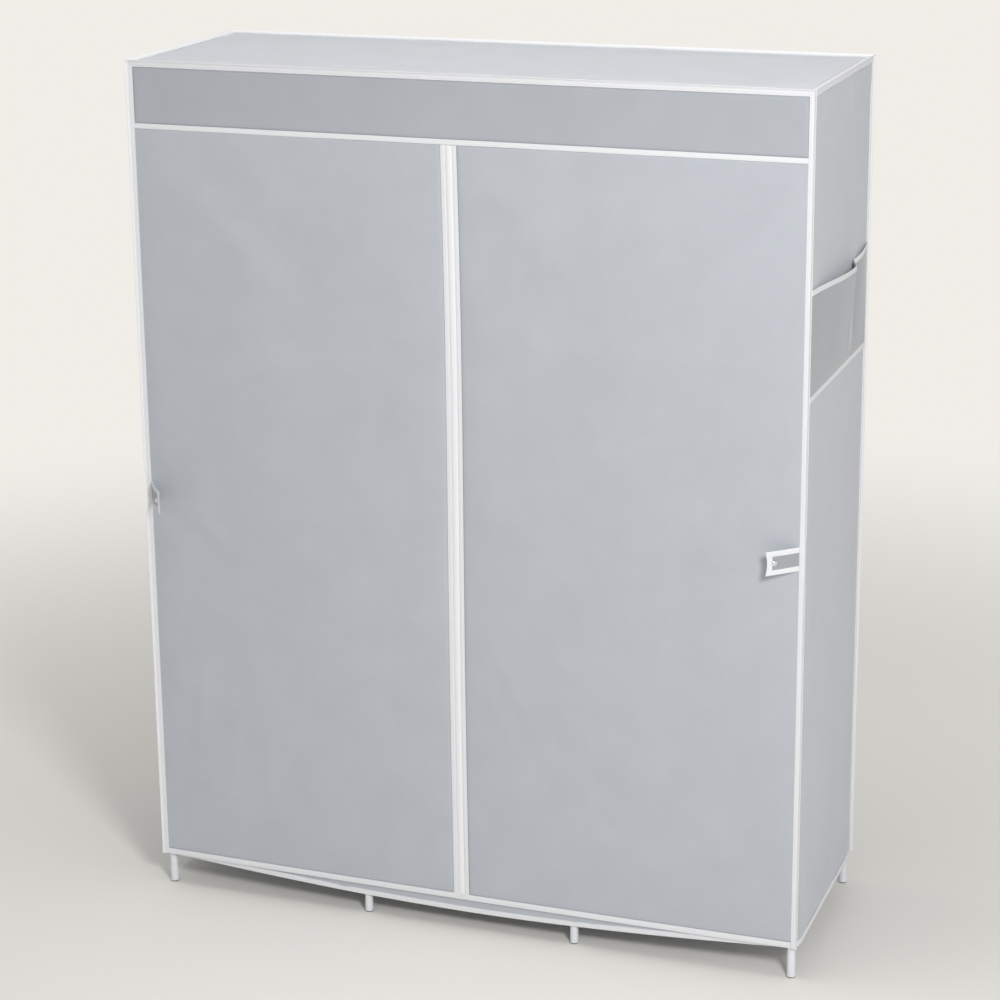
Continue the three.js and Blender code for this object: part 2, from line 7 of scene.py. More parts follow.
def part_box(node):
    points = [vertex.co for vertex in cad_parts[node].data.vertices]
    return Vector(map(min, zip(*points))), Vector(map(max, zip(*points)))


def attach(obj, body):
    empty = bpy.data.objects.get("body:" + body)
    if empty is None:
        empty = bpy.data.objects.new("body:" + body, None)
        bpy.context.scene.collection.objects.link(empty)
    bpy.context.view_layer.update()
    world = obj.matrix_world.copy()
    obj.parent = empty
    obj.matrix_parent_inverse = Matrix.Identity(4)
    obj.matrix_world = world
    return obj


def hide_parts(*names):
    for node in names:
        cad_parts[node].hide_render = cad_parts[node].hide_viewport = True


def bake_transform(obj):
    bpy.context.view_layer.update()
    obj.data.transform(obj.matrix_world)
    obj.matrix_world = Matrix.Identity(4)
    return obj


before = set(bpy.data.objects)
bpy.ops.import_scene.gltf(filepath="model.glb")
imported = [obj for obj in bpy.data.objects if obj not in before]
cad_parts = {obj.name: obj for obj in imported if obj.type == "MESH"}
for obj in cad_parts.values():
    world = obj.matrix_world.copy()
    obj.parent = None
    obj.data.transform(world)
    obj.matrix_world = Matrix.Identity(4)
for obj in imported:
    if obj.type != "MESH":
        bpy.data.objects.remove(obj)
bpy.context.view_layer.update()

# The whole wardrobe, as its cover outlines it. The tape that edges the cover is the outermost thing
# on every face, so most places below are counted from its box. Sizes are in metres, so mm is one
# thousandth.
mm = 0.001
cover_low, cover_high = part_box("cover_binding")
half_width = cover_high.x
front = cover_low.y
back = cover_high.y
top = cover_high.z


# The camera looks down at the wardrobe from its front right, with a long lens, from well above head
# height. Its place comes from the corners of the cover and from the feet.
camera_place = Vector((1.689, back - 4.817, 2.339))
camera_pitch = math.radians(-15.81)
camera_yaw = math.radians(19.83)
camera_roll = math.radians(-0.45)
camera = bpy.data.objects.new("camera", bpy.data.cameras.new("camera"))
bpy.context.scene.collection.objects.link(camera)
camera.data.sensor_width = 36
camera.data.lens = 94.4
camera.data.shift_x = -0.02
camera.data.shift_y = -0.07
camera.data.clip_end = 200
camera.matrix_world = (
    Matrix.Translation(camera_place)
    @ Matrix.Rotation(camera_yaw, 4, "Z")
    @ Matrix.Rotation(math.pi / 2 + camera_pitch, 4, "X")
    @ Matrix.Rotation(camera_roll, 4, "Z")
)
bpy.context.scene.camera = camera
bpy.context.scene.view_settings.view_transform = "Standard"


def new_finish(name, colour, roughness):
    """A material with its own shader, and the parts of it that the sections below work on."""
    finish = bpy.data.materials.new(name)
    finish.use_nodes = True
    shader = finish.node_tree.nodes["Principled BSDF"]
    shader.inputs["Base Color"].default_value = (*colour, 1)
    shader.inputs["Roughness"].default_value = roughness
    return finish, finish.node_tree.nodes, finish.node_tree.links, shader


# A plain pale floor, wide enough to fill the view behind the wardrobe.
floor_size = 90
floor_mesh = bpy.data.meshes.new("floor")
floor_corners = [(-floor_size, -floor_size, 0), (floor_size, -floor_size, 0)]
floor_corners += [(floor_size, floor_size, 0), (-floor_size, floor_size, 0)]
floor_mesh.from_pydata(floor_corners, [], [(0, 1, 2, 3)])
floor = bpy.data.objects.new("floor", floor_mesh)
bpy.context.scene.collection.objects.link(floor)
pale_floor, nodes, links, shader = new_finish("pale_floor", (0.82, 0.80, 0.76), 0.75)
floor_mesh.materials.append(pale_floor)
# Far from the wardrobe the floor turns into an even pale ground, seen so by the camera and in shine.
ground = nodes.new("ShaderNodeEmission")
ground.inputs["Color"].default_value = (0.87, 0.85, 0.80, 1)
place = nodes.new("ShaderNodeNewGeometry")
reach = nodes.new("ShaderNodeVectorMath")
reach.operation = "LENGTH"
distance = nodes.new("ShaderNodeMapRange")
distance.interpolation_type = "SMOOTHSTEP"
distance.inputs["From Min"].default_value = 1.0
distance.inputs["From Max"].default_value = 3.6
path = nodes.new("ShaderNodeLightPath")
seen = nodes.new("ShaderNodeMath")
shiny = nodes.new("ShaderNodeMath")
share = nodes.new("ShaderNodeMath")
seen.operation = shiny.operation = "MAXIMUM"
share.operation = "MULTIPLY"
blend_out = nodes.new("ShaderNodeMixShader")
links.new(place.outputs["Position"], reach.inputs[0])
links.new(reach.outputs["Value"], distance.inputs["Value"])
links.new(path.outputs["Is Camera Ray"], seen.inputs[0])
links.new(path.outputs["Is Glossy Ray"], seen.inputs[1])
links.new(seen.outputs["Value"], shiny.inputs[0])
links.new(path.outputs["Is Transmission Ray"], shiny.inputs[1])
links.new(shiny.outputs["Value"], share.inputs[0])
links.new(distance.outputs["Result"], share.inputs[1])
links.new(share.outputs["Value"], blend_out.inputs["Fac"])
links.new(shader.outputs["BSDF"], blend_out.inputs[1])
links.new(ground.outputs["Emission"], blend_out.inputs[2])
links.new(blend_out.outputs["Shader"], nodes["Material Output"].inputs["Surface"])

# Soft light: an even sky, a wide lamp overhead, a brighter one before the right end of the front,
# and a faint warm one beside the right side.
world = bpy.data.worlds.new("studio")
bpy.context.scene.world = world
world.use_nodes = True
world.node_tree.nodes["Background"].inputs["Color"].default_value = (1, 1, 1, 1)
world.node_tree.nodes["Background"].inputs["Strength"].default_value = 0.47


def hang_lamp(name, place, aim, size, power, colour=(1, 1, 1)):
    lamp = bpy.data.objects.new(name, bpy.data.lights.new(name, "AREA"))
    bpy.context.scene.collection.objects.link(lamp)
    lamp.data.shape = "DISK"
    lamp.data.size = size
    lamp.data.energy = power
    lamp.data.color = colour
    lamp.location = place
    lamp.rotation_euler = (Vector(aim) - Vector(place)).to_track_quat("-Z", "Y").to_euler()


hang_lamp("overhead_lamp", place=(-0.4, -0.4, 4.6), aim=(0, 0.1, 1.2), size=2.0, power=44,
          colour=(1, 0.975, 0.945))
hang_lamp("key_lamp", place=(2.2, -3.0, 2.7), aim=(0.3, 0, 1.1), size=0.9, power=91)
hang_lamp("right_lamp", place=(4.6, 0.6, 2.2), aim=(0.6, 0, 0.9), size=2.0, power=3,
          colour=(1, 0.86, 0.72))


# Eight upright posts of steel tube, 16 mm across, with a hard white powder coat. A plastic plug with
# a rounded end is pushed into the foot of each one.
tube_radius = 8 * mm
tube_wall = 1 * mm
tube_ease = 0.35 * mm
round_sides = 40


def eased(corners, ease, closed):
    """The corners of a profile with each sharp one rounded off by three points."""
    last = len(corners)
    out = []
    for k, corner in enumerate(corners):
        if not closed and k in (0, last - 1):
            out.append(corner)
            continue
        before, here, after = (np.array(corners[n % last], float) for n in (k - 1, k, k + 1))
        arms = [end - here for end in (before, after)]
        lengths = [np.linalg.norm(arm) for arm in arms]
        cut = min(ease, 0.45 * min(lengths))
        starts = [here + arm / length * cut for arm, length in zip(arms, lengths)]
        out += [starts[0], 0.25 * (starts[0] + starts[1]) + 0.5 * here, starts[1]]
    return [tuple(point) for point in out]


def turned(profile, closed=False, sides=round_sides):
    """A round shape about Z from (radius, height) pairs. A radius of 0 is one point on the axis."""
    points, rings, faces = [], [], []
    for radius, height in profile:
        count = sides if radius > 0 else 1
        rings.append(range(len(points), len(points) + count))
        for k in range(count):
            turn = 2 * math.pi * k / sides
            points.append((radius * math.cos(turn), radius * math.sin(turn), height))
    for low, high in zip(rings, rings[1:] + (rings[:1] if closed else [])):
        for k in range(sides):
            face = [low[k % len(low)], low[(k + 1) % len(low)]]
            face += [high[(k + 1) % len(high)], high[k % len(high)]]
            face = list(dict.fromkeys(face))
            if len(face) > 2:
                faces.append(face)
    return np.array(points), faces


def moved(shape, place=(0, 0, 0), turn=None):
    """A shape turned by a 3 x 3 matrix and carried to its place."""
    points, faces = shape
    if turn is not None:
        points = points @ np.array(turn).T
    return points + np.array(place), faces


def gathered(shapes):
    """Several shapes as one."""
    points, faces, start = [], [], 0
    for some_points, some_faces in shapes:
        points.append(some_points)
        faces += [[start + corner for corner in face] for face in some_faces]
        start += len(some_points)
    return np.concatenate(points), faces


def make_piece(name, shape, finish, body, nodes=(), sharp=40, plan=None):
    """A shape as a finished piece that rides on a body and stands for CAD nodes."""
    points, faces = shape
    mesh = bpy.data.meshes.new(name)
    mesh.from_pydata(points.tolist(), [], faces)
    if plan is not None:
        layer = mesh.uv_layers.new(name="cut")
        corner = np.empty(len(mesh.loops), int)
        mesh.loops.foreach_get("vertex_index", corner)
        layer.data.foreach_set("uv", plan[corner].astype(np.float32).ravel())
    mesh.polygons.foreach_set("use_smooth", [True] * len(mesh.polygons))
    mesh.set_sharp_from_angle(angle=math.radians(sharp))
    mesh.materials.append(finish)
    piece = bpy.data.objects.new(name, mesh)
    bpy.context.scene.collection.objects.link(piece)
    if body:
        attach(piece, body)
    if nodes:
        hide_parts(*nodes)
    return piece


def centre_of(node):
    low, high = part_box(node)
    return (low + high) / 2


def add_grain(nodes, links, shader, scale, strength, distance):
    """Fine bumps all over a finish, from noise that is `scale` lumps to the metre."""
    place = nodes.new("ShaderNodeTexCoord")
    lumps = nodes.new("ShaderNodeTexNoise")
    lumps.inputs["Scale"].default_value = scale
    lumps.inputs["Detail"].default_value = 2
    bump = nodes.new("ShaderNodeBump")
    bump.inputs["Strength"].default_value = strength
    bump.inputs["Distance"].default_value = distance
    links.new(place.outputs["Object"], lumps.inputs["Vector"])
    links.new(lumps.outputs["Fac"], bump.inputs["Height"])
    links.new(bump.outputs["Normal"], shader.inputs["Normal"])
    return lumps


def vary(nodes, links, shader, socket, lumps, low, high):
    """Lets a shader's value or colour wander between two ends with some lumps of noise."""
    if isinstance(low, tuple):
        mix = nodes.new("ShaderNodeMix")
        mix.data_type = "RGBA"
        mix.inputs["A"].default_value = (*low, 1)
        mix.inputs["B"].default_value = (*high, 1)
        links.new(lumps.outputs["Fac"], mix.inputs["Factor"])
        links.new(mix.outputs["Result"], shader.inputs[socket])
        return
    spread = nodes.new("ShaderNodeMapRange")
    spread.inputs["From Min"].default_value = 0.3
    spread.inputs["From Max"].default_value = 0.7
    spread.inputs["To Min"].default_value = low
    spread.inputs["To Max"].default_value = high
    links.new(lumps.outputs["Fac"], spread.inputs["Value"])
    links.new(spread.outputs["Result"], shader.inputs[socket])


def grained(name, colour, roughness, scale, strength, depth, wander, socket="Roughness"):
    """A finish with fine bumps `depth` high, and a value or colour that wanders between two ends."""
    finish, nodes, links, shader = new_finish(name, colour, roughness)
    lumps = add_grain(nodes, links, shader, scale, strength, depth)
    vary(nodes, links, shader, socket, lumps, *wander)
    return finish, shader


# The powder coat is smooth and slightly uneven, with the faint orange-peel that baking leaves.
powder_coat, shader = grained("white_powder_coat", (0.80, 0.82, 0.86), 0.33, scale=900,
                              strength=0.25, depth=0.2 * mm, wander=(0.28, 0.42))
shader.inputs["Coat Weight"].default_value = 0.25
shader.inputs["Coat Roughness"].default_value = 0.2
foot_plastic, shader = grained("white_foot_plastic", (0.76, 0.78, 0.82), 0.5, scale=2500,
                               strength=0.2, depth=0.1 * mm, wander=(0.42, 0.58))
# The plug stands on a thin pad of dark rubber. Its near-black is partly the rubber's own colour and
# partly painted shadow, standing in for the contact shadow at the floor.
rubber_pad_and_painted_shadow, shader = grained("dark_foot_rubber_and_painted_shadow", (0.07, 0.07, 0.075), 0.7, scale=1800,
                              strength=0.3, depth=0.1 * mm, wander=(0.6, 0.8))


def frame_piece(name, shape, finish, node):
    """A piece of the tube frame, which stands still."""
    make_piece(name, shape, finish, "frame_and_cover", [node])


foot_height = 6 * mm
foot_radius = 8.5 * mm
foot_round = 2.2 * mm
foot_ease = 0.5 * mm
plug_radius = 6.7 * mm
for side in ("front", "back"):
    for number in range(1, 5):
        post = f"post_{side}_{number}"
        foot = f"foot_{side}_{number}"
        place = centre_of(post)
        low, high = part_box(post)
        wall = [(tube_radius - tube_wall, low.z), (tube_radius, low.z)]
        wall += [(tube_radius, high.z), (tube_radius - tube_wall, high.z)]
        tube = turned(eased(wall, tube_ease, True), closed=True)
        frame_piece(f"{post}_tube", moved(tube, (place.x, place.y, 0)), powder_coat, post)
        low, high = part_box(foot)
        bend = [
            (foot_radius - foot_round * (1 - math.sin(turn)), foot_round * (1 - math.cos(turn)))
            for turn in np.linspace(0, math.pi / 2, 7)
        ]
        outline = [(0, foot_round), (foot_radius, foot_round), (foot_radius, foot_height - foot_ease)]
        outline += [(foot_radius - foot_ease, foot_height), (plug_radius, foot_height)]
        outline += [(plug_radius, high.z), (0, high.z)]
        make_piece(f"{foot}_plug", moved(turned(outline), (place.x, place.y, 0)), foot_plastic,
                   "frame_and_cover", [foot])
        pad = turned([(0, 0), *bend, (0, foot_round)])
        make_piece(f"{foot}_pad", moved(pad, (place.x, place.y, 0)), rubber_pad_and_painted_shadow,
                   "frame_and_cover", [foot])


# The rails are the same white tube, cut to the length of a bay and pushed into moulded connectors at
# every post. A connector is one white moulding: an upright sleeve that the post passes through, and a
# socket for each tube that meets it there, each with a raised lip at its mouth.
socket_radius = 9.9 * mm
bore_radius = 8.3 * mm
socket_reach = 24 * mm
sleeve_length = 32 * mm
lip_length = 2.5 * mm
lip_height = 0.7 * mm
lip_slope = 0.6 * mm
socket_ease = 0.4 * mm
sleeve_ease = 1.2 * mm
bore_start = 0.6
cap_thickness = 2 * mm
lay_along_x = Matrix.Rotation(math.pi / 2, 3, "Y")
lay_along_y = Matrix.Rotation(-math.pi / 2, 3, "X")


def loose(shape):
    """A shape as a plain object, to join or to cut with."""
    points, faces = shape
    mesh = bpy.data.meshes.new("loose")
    mesh.from_pydata(points.tolist(), [], faces)
    body = bpy.data.objects.new("loose", mesh)
    bpy.context.scene.collection.objects.link(body)
    return body


def moulded(solids, hollows):
    """One closed shape from several that cross, with some hollows taken out of it."""
    whole = loose(solids[0])
    tools = [(loose(solid), "UNION") for solid in solids[1:]]
    tools += [(loose(hollow), "DIFFERENCE") for hollow in hollows]
    for tool, way in tools:
        step = whole.modifiers.new("step", "BOOLEAN")
        step.operation = way
        step.solver = "EXACT"
        step.object = tool
    bpy.context.view_layer.update()
    made = whole.evaluated_get(bpy.context.evaluated_depsgraph_get()).to_mesh()
    points = np.array([corner.co for corner in made.vertices])
    faces = [list(face.vertices) for face in made.polygons]
    for body in [whole, *[tool for tool, way in tools]]:
        bpy.data.objects.remove(body)
    return points, faces


def socket(from_post, to_mouth):
    """A socket's outside: plain near the post, then a raised lip at its mouth."""
    lip = to_mouth - math.copysign(lip_length, to_mouth)
    profile = [(0, from_post), (socket_radius, from_post), (socket_radius, lip)]
    profile += [(socket_radius + lip_height, lip + math.copysign(lip_slope, to_mouth))]
    profile += [(socket_radius + lip_height, to_mouth), (0, to_mouth)]
    return turned(eased(profile, socket_ease, False))


def bore(from_end, to_end):
    return turned([(0, from_end), (bore_radius, from_end), (bore_radius, to_end), (0, to_end)])


def connector(left, right, inward, capped):
    """A connector about the point where the tubes' middle lines cross.

    It has a socket to the left and right where wanted, and one towards inward, which is -1, 0 or 1
    along Y. Its sleeve is closed at the top where it is capped.
    """
    head = socket_radius if capped else sleeve_length / 2
    sleeve = [(0, head - sleeve_length), (socket_radius, head - sleeve_length)]
    sleeve += [(socket_radius, head), (0, head)]
    solids = [turned(eased(sleeve, sleeve_ease, False))]
    hollows = [bore(head - sleeve_length - cap_thickness,
                    head - cap_thickness if capped else head + cap_thickness)]
    for wanted, way in ((left, -1), (right, 1)):
        if wanted:
            solids.append(moved(socket(0, way * socket_reach), turn=lay_along_x))
            hollow = bore(way * socket_radius * bore_start, way * (socket_reach + cap_thickness))
            hollows.append(moved(hollow, turn=lay_along_x))
    if inward:
        solids.append(moved(socket(0, inward * socket_reach), turn=lay_along_y))
        hollow = bore(inward * socket_radius * bore_start, inward * (socket_reach + cap_thickness))
        hollows.append(moved(hollow, turn=lay_along_y))
    return moulded(solids, hollows)


connector_plastic, shader = grained("white_connector_plastic", (0.74, 0.76, 0.80), 0.48, scale=1800,
                                    strength=0.2, depth=0.1 * mm, wander=(0.4, 0.56))
cut_ease = 0.3 * mm


def plain_tube(start, end):
    wall = [(tube_radius - tube_wall, start), (tube_radius, start)]
    wall += [(tube_radius, end), (tube_radius - tube_wall, end)]
    return turned(eased(wall, cut_ease, True), closed=True)


post_columns = [centre_of(f"post_front_{number}").x for number in range(1, 5)]
tube_start = 9 * mm
levels = {
    "rail_bottom": (centre_of("cross_tube_bottom_1").z, post_columns, True, False),
    "rail_top": (centre_of("cross_tube_top_1").z, post_columns, True, True),
    "shelf_rail_1": (centre_of("shelf_cloth_1").z, post_columns[1:3], False, False),
    "shelf_rail_2": (centre_of("shelf_cloth_2").z, post_columns[1:3], False, False),
}
for level, (height, columns, has_cross_tubes, capped) in levels.items():
    for side, inward in (("front", 1), ("back", -1)):
        depth = centre_of(f"post_{side}_1").y
        node = f"{level}_{side}"
        runs = [
            moved(plain_tube(start + tube_start, end - tube_start), (0, depth, height), lay_along_x)
            for start, end in zip(columns, columns[1:])
        ]
        frame_piece(f"{node}_tubes", gathered(runs), powder_coat, node)
        joints = []
        for k, column in enumerate(columns):
            shape = connector(k > 0, k < len(columns) - 1, inward * has_cross_tubes, capped)
            joints.append(moved(shape, (column, depth, height)))
        frame_piece(f"{node}_connectors", gathered(joints), connector_plastic, node)
for level in ("bottom", "top"):
    for number in range(1, 5):
        node = f"cross_tube_{level}_{number}"
        low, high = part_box(node)
        place = centre_of(node)
        run = moved(plain_tube(low.y, high.y), (place.x, 0, place.z), lay_along_y)
        frame_piece(f"{node}_run", run, powder_coat, node)


# A rod is a tube with a cap at each end. It hangs under the top cross tubes by two springy clips,
# open at the top, that are moulded with a saddle round the rod.
clip_wall = 1.8 * mm
clip_width = 20 * mm
clip_reach = 215 * mm
clip_points = 18
saddle_points = 14
clip_opening = math.radians(115)
clip_neck = 9 * mm
rod_drop = bore_radius + clip_wall + tube_radius
rod_saddle = tube_radius + 1.4 * mm
rod_end = 1.2 * mm
cap_depth = 1.1 * mm
cap_lip = 0.2 * mm
cap_inset = 0.3 * mm
cap_ease = 0.6 * mm
plate_ease = 0.35 * mm


def plate(outline, width):
    """A flat outline of (x, z) points made `width` thick along Y, with its edges eased."""
    layers = [(-width / 2, plate_ease), (-width / 2 + plate_ease, 0)]
    layers += [(width / 2 - plate_ease, 0), (width / 2, plate_ease)]
    flat = np.array(outline)
    after = np.roll(flat, -1, axis=0) - flat
    before = flat - np.roll(flat, 1, axis=0)
    after, before = (side / np.linalg.norm(side, axis=1)[:, None] for side in (after, before))
    lean = after + before
    lean /= np.linalg.norm(lean, axis=1)[:, None]
    inward = np.stack([-lean[:, 1], lean[:, 0]], axis=1)
    count = len(flat)
    points = np.concatenate([
        np.insert(flat + inward * inset, 1, depth, axis=1) for depth, inset in layers
    ])
    faces = [list(range(count)), list(range(4 * count - 1, 3 * count - 1, -1))]
    for ring in range(3):
        for k in range(count):
            a, b = ring * count + k, ring * count + (k + 1) % count
            faces.append([b, a, a + count, b + count])
    return points, faces


def clip():
    """A C-shaped clip about the cross tube, its neck, and the saddle round the rod below it."""
    outer = bore_radius + clip_wall
    half_gap = clip_opening / 2
    neck_turn = math.asin(clip_neck / 2 / outer)
    saddle_turn = math.asin(clip_neck / 2 / rod_saddle)
    right = np.linspace(math.pi / 2 - half_gap, -math.pi / 2 + neck_turn, clip_points)
    saddle = np.linspace(math.pi / 2 - saddle_turn, -math.pi / 2, saddle_points)
    half = [(outer * math.cos(turn), outer * math.sin(turn)) for turn in right]
    half += [(rod_saddle * math.cos(turn), rod_saddle * math.sin(turn) - rod_drop) for turn in saddle]
    inner = [
        (bore_radius * math.cos(turn), bore_radius * math.sin(turn))
        for turn in np.linspace(-math.pi / 2, math.pi / 2 - half_gap, clip_points)
    ]
    left = [(-x, z) for x, z in half[-2::-1]]
    inner_left = [(-x, z) for x, z in inner[::-1]]
    return (half + left + inner_left + inner[1:])[::-1]


for side in ("left", "right"):
    node = f"hanging_rod_{side}"
    low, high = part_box(node)
    place = centre_of(node)
    height = centre_of("cross_tube_top_1").z
    rod = plain_tube(low.x + rod_end, high.x - rod_end)
    rod = moved(rod, (0, place.y, height - rod_drop), lay_along_x)
    frame_piece(f"{node}_tube", rod, powder_coat, node)
    mouldings = []
    for way in (-1, 1):
        column = place.x + way * clip_reach
        mouldings.append(moved(plate(clip(), clip_width), (column, place.y, height)))
        end = high.x if way > 0 else low.x
        cap = [(0, -cap_depth), (tube_radius + cap_lip, -cap_depth)]
        cap += [(tube_radius + cap_lip, cap_lip), (0, cap_lip)]
        cap_turn = lay_along_x if way > 0 else Matrix.Rotation(-math.pi / 2, 3, "Y")
        mouldings.append(moved(turned(eased(cap, cap_ease, False)),
                               (end - way * cap_inset, place.y, height - rod_drop), cap_turn))
    frame_piece(f"{node}_clips", gathered(mouldings), connector_plastic, node)


# A shelf is one length of the cover's grey non-woven cloth, wrapped round the front and back rails
# and sewn to itself underneath, so it is a flat double sleeve. The base is made the same way through
# all three bays, and is cut away round the connectors.
cloth_thickness = 0.8 * mm


def nonwoven(name, dark, light):
    """The non-woven cloth between two tones. Its weave follows the cut of the cloth."""
    finish, nodes, links, shader = new_finish(name, light, 0.8)
    shader.inputs["Sheen Weight"].default_value = 0.35
    shader.inputs["Sheen Roughness"].default_value = 0.45
    cut_plan = nodes.new("ShaderNodeUVMap")
    cut_plan.uv_map = "cut"
    # Hot rollers bond the fibres at rows of small points, each a dent about a millimetre apart.
    bond_rows = nodes.new("ShaderNodeMapping")
    bond_rows.inputs["Rotation"].default_value = (0, 0, math.radians(45))
    bond_points = nodes.new("ShaderNodeTexVoronoi")
    bond_points.voronoi_dimensions = "2D"
    bond_points.inputs["Scale"].default_value = 800
    bond_points.inputs["Randomness"].default_value = 0.08
    bond_dent = nodes.new("ShaderNodeMapRange")
    bond_dent.inputs["From Min"].default_value = 0.12
    bond_dent.inputs["From Max"].default_value = 0.42
    fibres = nodes.new("ShaderNodeTexNoise")
    fibres.noise_dimensions = "2D"
    fibres.inputs["Scale"].default_value = 1400
    fibres.inputs["Detail"].default_value = 4
    fibres.inputs["Distortion"].default_value = 1.2
    relief = nodes.new("ShaderNodeMath")
    relief.operation = "MULTIPLY_ADD"
    relief.inputs[1].default_value = 0.5
    bump = nodes.new("ShaderNodeBump")
    bump.inputs["Strength"].default_value = 0.35
    bump.inputs["Distance"].default_value = 0.15 * mm
    links.new(cut_plan.outputs["UV"], bond_rows.inputs["Vector"])
    links.new(bond_rows.outputs["Vector"], bond_points.inputs["Vector"])
    links.new(bond_points.outputs["Distance"], bond_dent.inputs["Value"])
    links.new(cut_plan.outputs["UV"], fibres.inputs["Vector"])
    links.new(fibres.outputs["Fac"], relief.inputs[0])
    links.new(bond_dent.outputs["Result"], relief.inputs[2])
    links.new(relief.outputs["Value"], bump.inputs["Height"])
    links.new(bump.outputs["Normal"], shader.inputs["Normal"])
    # The web of fibres is uneven, so the grey is cloudy, and each bond point is a little darker.
    clouds = nodes.new("ShaderNodeTexNoise")
    clouds.noise_dimensions = "2D"
    clouds.inputs["Scale"].default_value = 9
    clouds.inputs["Detail"].default_value = 9
    clouds.inputs["Roughness"].default_value = 0.68
    cloudy = nodes.new("ShaderNodeMix")
    cloudy.data_type = "RGBA"
    cloudy.inputs["A"].default_value = (*dark, 1)
    cloudy.inputs["B"].default_value = (*light, 1)
    dotted = nodes.new("ShaderNodeMix")
    dotted.data_type = "RGBA"
    dotted.blend_type = "MULTIPLY"
    dotted.inputs["Factor"].default_value = 1
    point_shade = nodes.new("ShaderNodeMapRange")
    point_shade.inputs["To Min"].default_value = 0.93
    links.new(cut_plan.outputs["UV"], clouds.inputs["Vector"])
    links.new(clouds.outputs["Fac"], cloudy.inputs["Factor"])
    links.new(bond_dent.outputs["Result"], point_shade.inputs["Value"])
    links.new(cloudy.outputs["Result"], dotted.inputs["A"])
    links.new(point_shade.outputs["Result"], dotted.inputs["B"])
    links.new(dotted.outputs["Result"], shader.inputs["Base Color"])
    vary(nodes, links, shader, "Roughness", clouds, 0.72, 0.86)
    return finish


grey_cloth = nonwoven("grey_nonwoven_cloth", (0.432, 0.458, 0.500), (0.504, 0.531, 0.575))


def crumple(a, b, size, seed, layers=3):
    """Uneven swells from about -1 to 1 over a cut of cloth, with lumps `size` metres across."""
    lumps = [
        noise.fractal(Vector((x / size, y / size, seed)), 0.9, 2.0, layers)
        for x, y in zip(a.ravel().tolist(), b.ravel().tolist())
    ]
    return np.array(lumps).reshape(a.shape)


def held_in(a, b, reach):
    """0 along the four edges of a cut of cloth, and 1 from `reach` metres in."""
    inset = np.minimum.reduce([a - a.min(), a.max() - a, b - b.min(), b.max() - b])
    share = np.clip(inset / reach, 0, 1)
    return share * share * (3 - 2 * share)


def steps(start, end, size):
    """Evenly spaced places from start to end, about `size` apart."""
    return np.linspace(start, end, max(2, round(abs(end - start) / size) + 1))


def cloth_shape(across, along, place, keep=None):
    """A cut of cloth, measured across and along its flat, laid where place(a, b) puts its middle.

    It has two skins and a closed rim. keep says which cells of the grid are not cut away.
    """
    a, b = np.meshgrid(across, along)
    middle = np.stack(np.broadcast_arrays(*place(a, b)), axis=-1).astype(float)
    facing = np.cross(np.gradient(middle, axis=1), np.gradient(middle, axis=0))
    facing /= np.linalg.norm(facing, axis=-1, keepdims=True)
    skins = [middle + facing * cloth_thickness / 2, middle - facing * cloth_thickness / 2]
    points = np.concatenate([skin.reshape(-1, 3) for skin in skins])
    plan = np.tile(np.stack([a, b], axis=-1).reshape(-1, 2), (2, 1))
    rows, columns = a.shape
    number = np.arange(rows * columns).reshape(rows, columns)
    kept = np.ones((rows - 1, columns - 1), bool)
    if keep is not None:
        kept = keep((a[:-1, :-1] + a[1:, 1:]) / 2, (b[:-1, :-1] + b[1:, 1:]) / 2)
    corners = [number[:-1, :-1], number[:-1, 1:], number[1:, 1:], number[1:, :-1]]
    cells = np.stack(corners, axis=-1)[kept]
    under = cells[:, ::-1] + rows * columns
    ringed = np.pad(kept, 1)
    rim = []
    beside = [ringed[:-2, 1:-1], ringed[1:-1, 2:], ringed[2:, 1:-1], ringed[1:-1, :-2]]
    for k, neighbour in enumerate(beside):
        edge = kept & ~neighbour
        start, end = corners[k][edge], corners[(k + 1) % 4][edge]
        rim.append(np.stack([end, start, start + rows * columns, end + rows * columns], axis=-1))
    faces = np.concatenate([cells, under, *rim])
    used = np.unique(faces)
    renumber = np.zeros(len(points), int)
    renumber[used] = np.arange(len(used))
    return (points[used], renumber[faces].tolist()), plan[used]


def cloth_piece(name, body, nodes, across, along, place, keep=None, finish=grey_cloth):
    shape, plan = cloth_shape(across, along, place, keep=keep)
    return make_piece(name, shape, finish, body, nodes, sharp=60, plan=plan)


rail_half_gap = (centre_of("post_back_1").y - centre_of("post_front_1").y) / 2
rail_middle = (centre_of("post_back_1").y + centre_of("post_front_1").y) / 2
wrap_radius = bore_radius + cloth_thickness / 2
half_turn = math.pi * wrap_radius
wrap_length = 4 * rail_half_gap + 2 * half_turn
seam_overlap = 12 * mm
near_rail = 8 * mm
fine_step = 2.4 * mm
wide_step = 9 * mm


def wrapped(s):
    """Depth and height of a point `s` along a wrap that starts under the shelf, at mid depth."""
    leg_ends = np.cumsum([0, rail_half_gap, half_turn, 2 * rail_half_gap, half_turn, rail_half_gap])
    front_turn = math.pi * np.clip((s - leg_ends[1]) / half_turn, 0, 1)
    back_turn = math.pi * np.clip((s - leg_ends[3]) / half_turn, 0, 1)
    depth = -np.minimum(s, rail_half_gap)
    depth = depth - wrap_radius * np.sin(front_turn) + np.clip(s - leg_ends[2], 0, 2 * rail_half_gap)
    depth = depth + wrap_radius * np.sin(back_turn) - np.clip(s - leg_ends[4], 0, None)
    return depth, -wrap_radius * (np.cos(front_turn) + 1 - np.cos(back_turn))


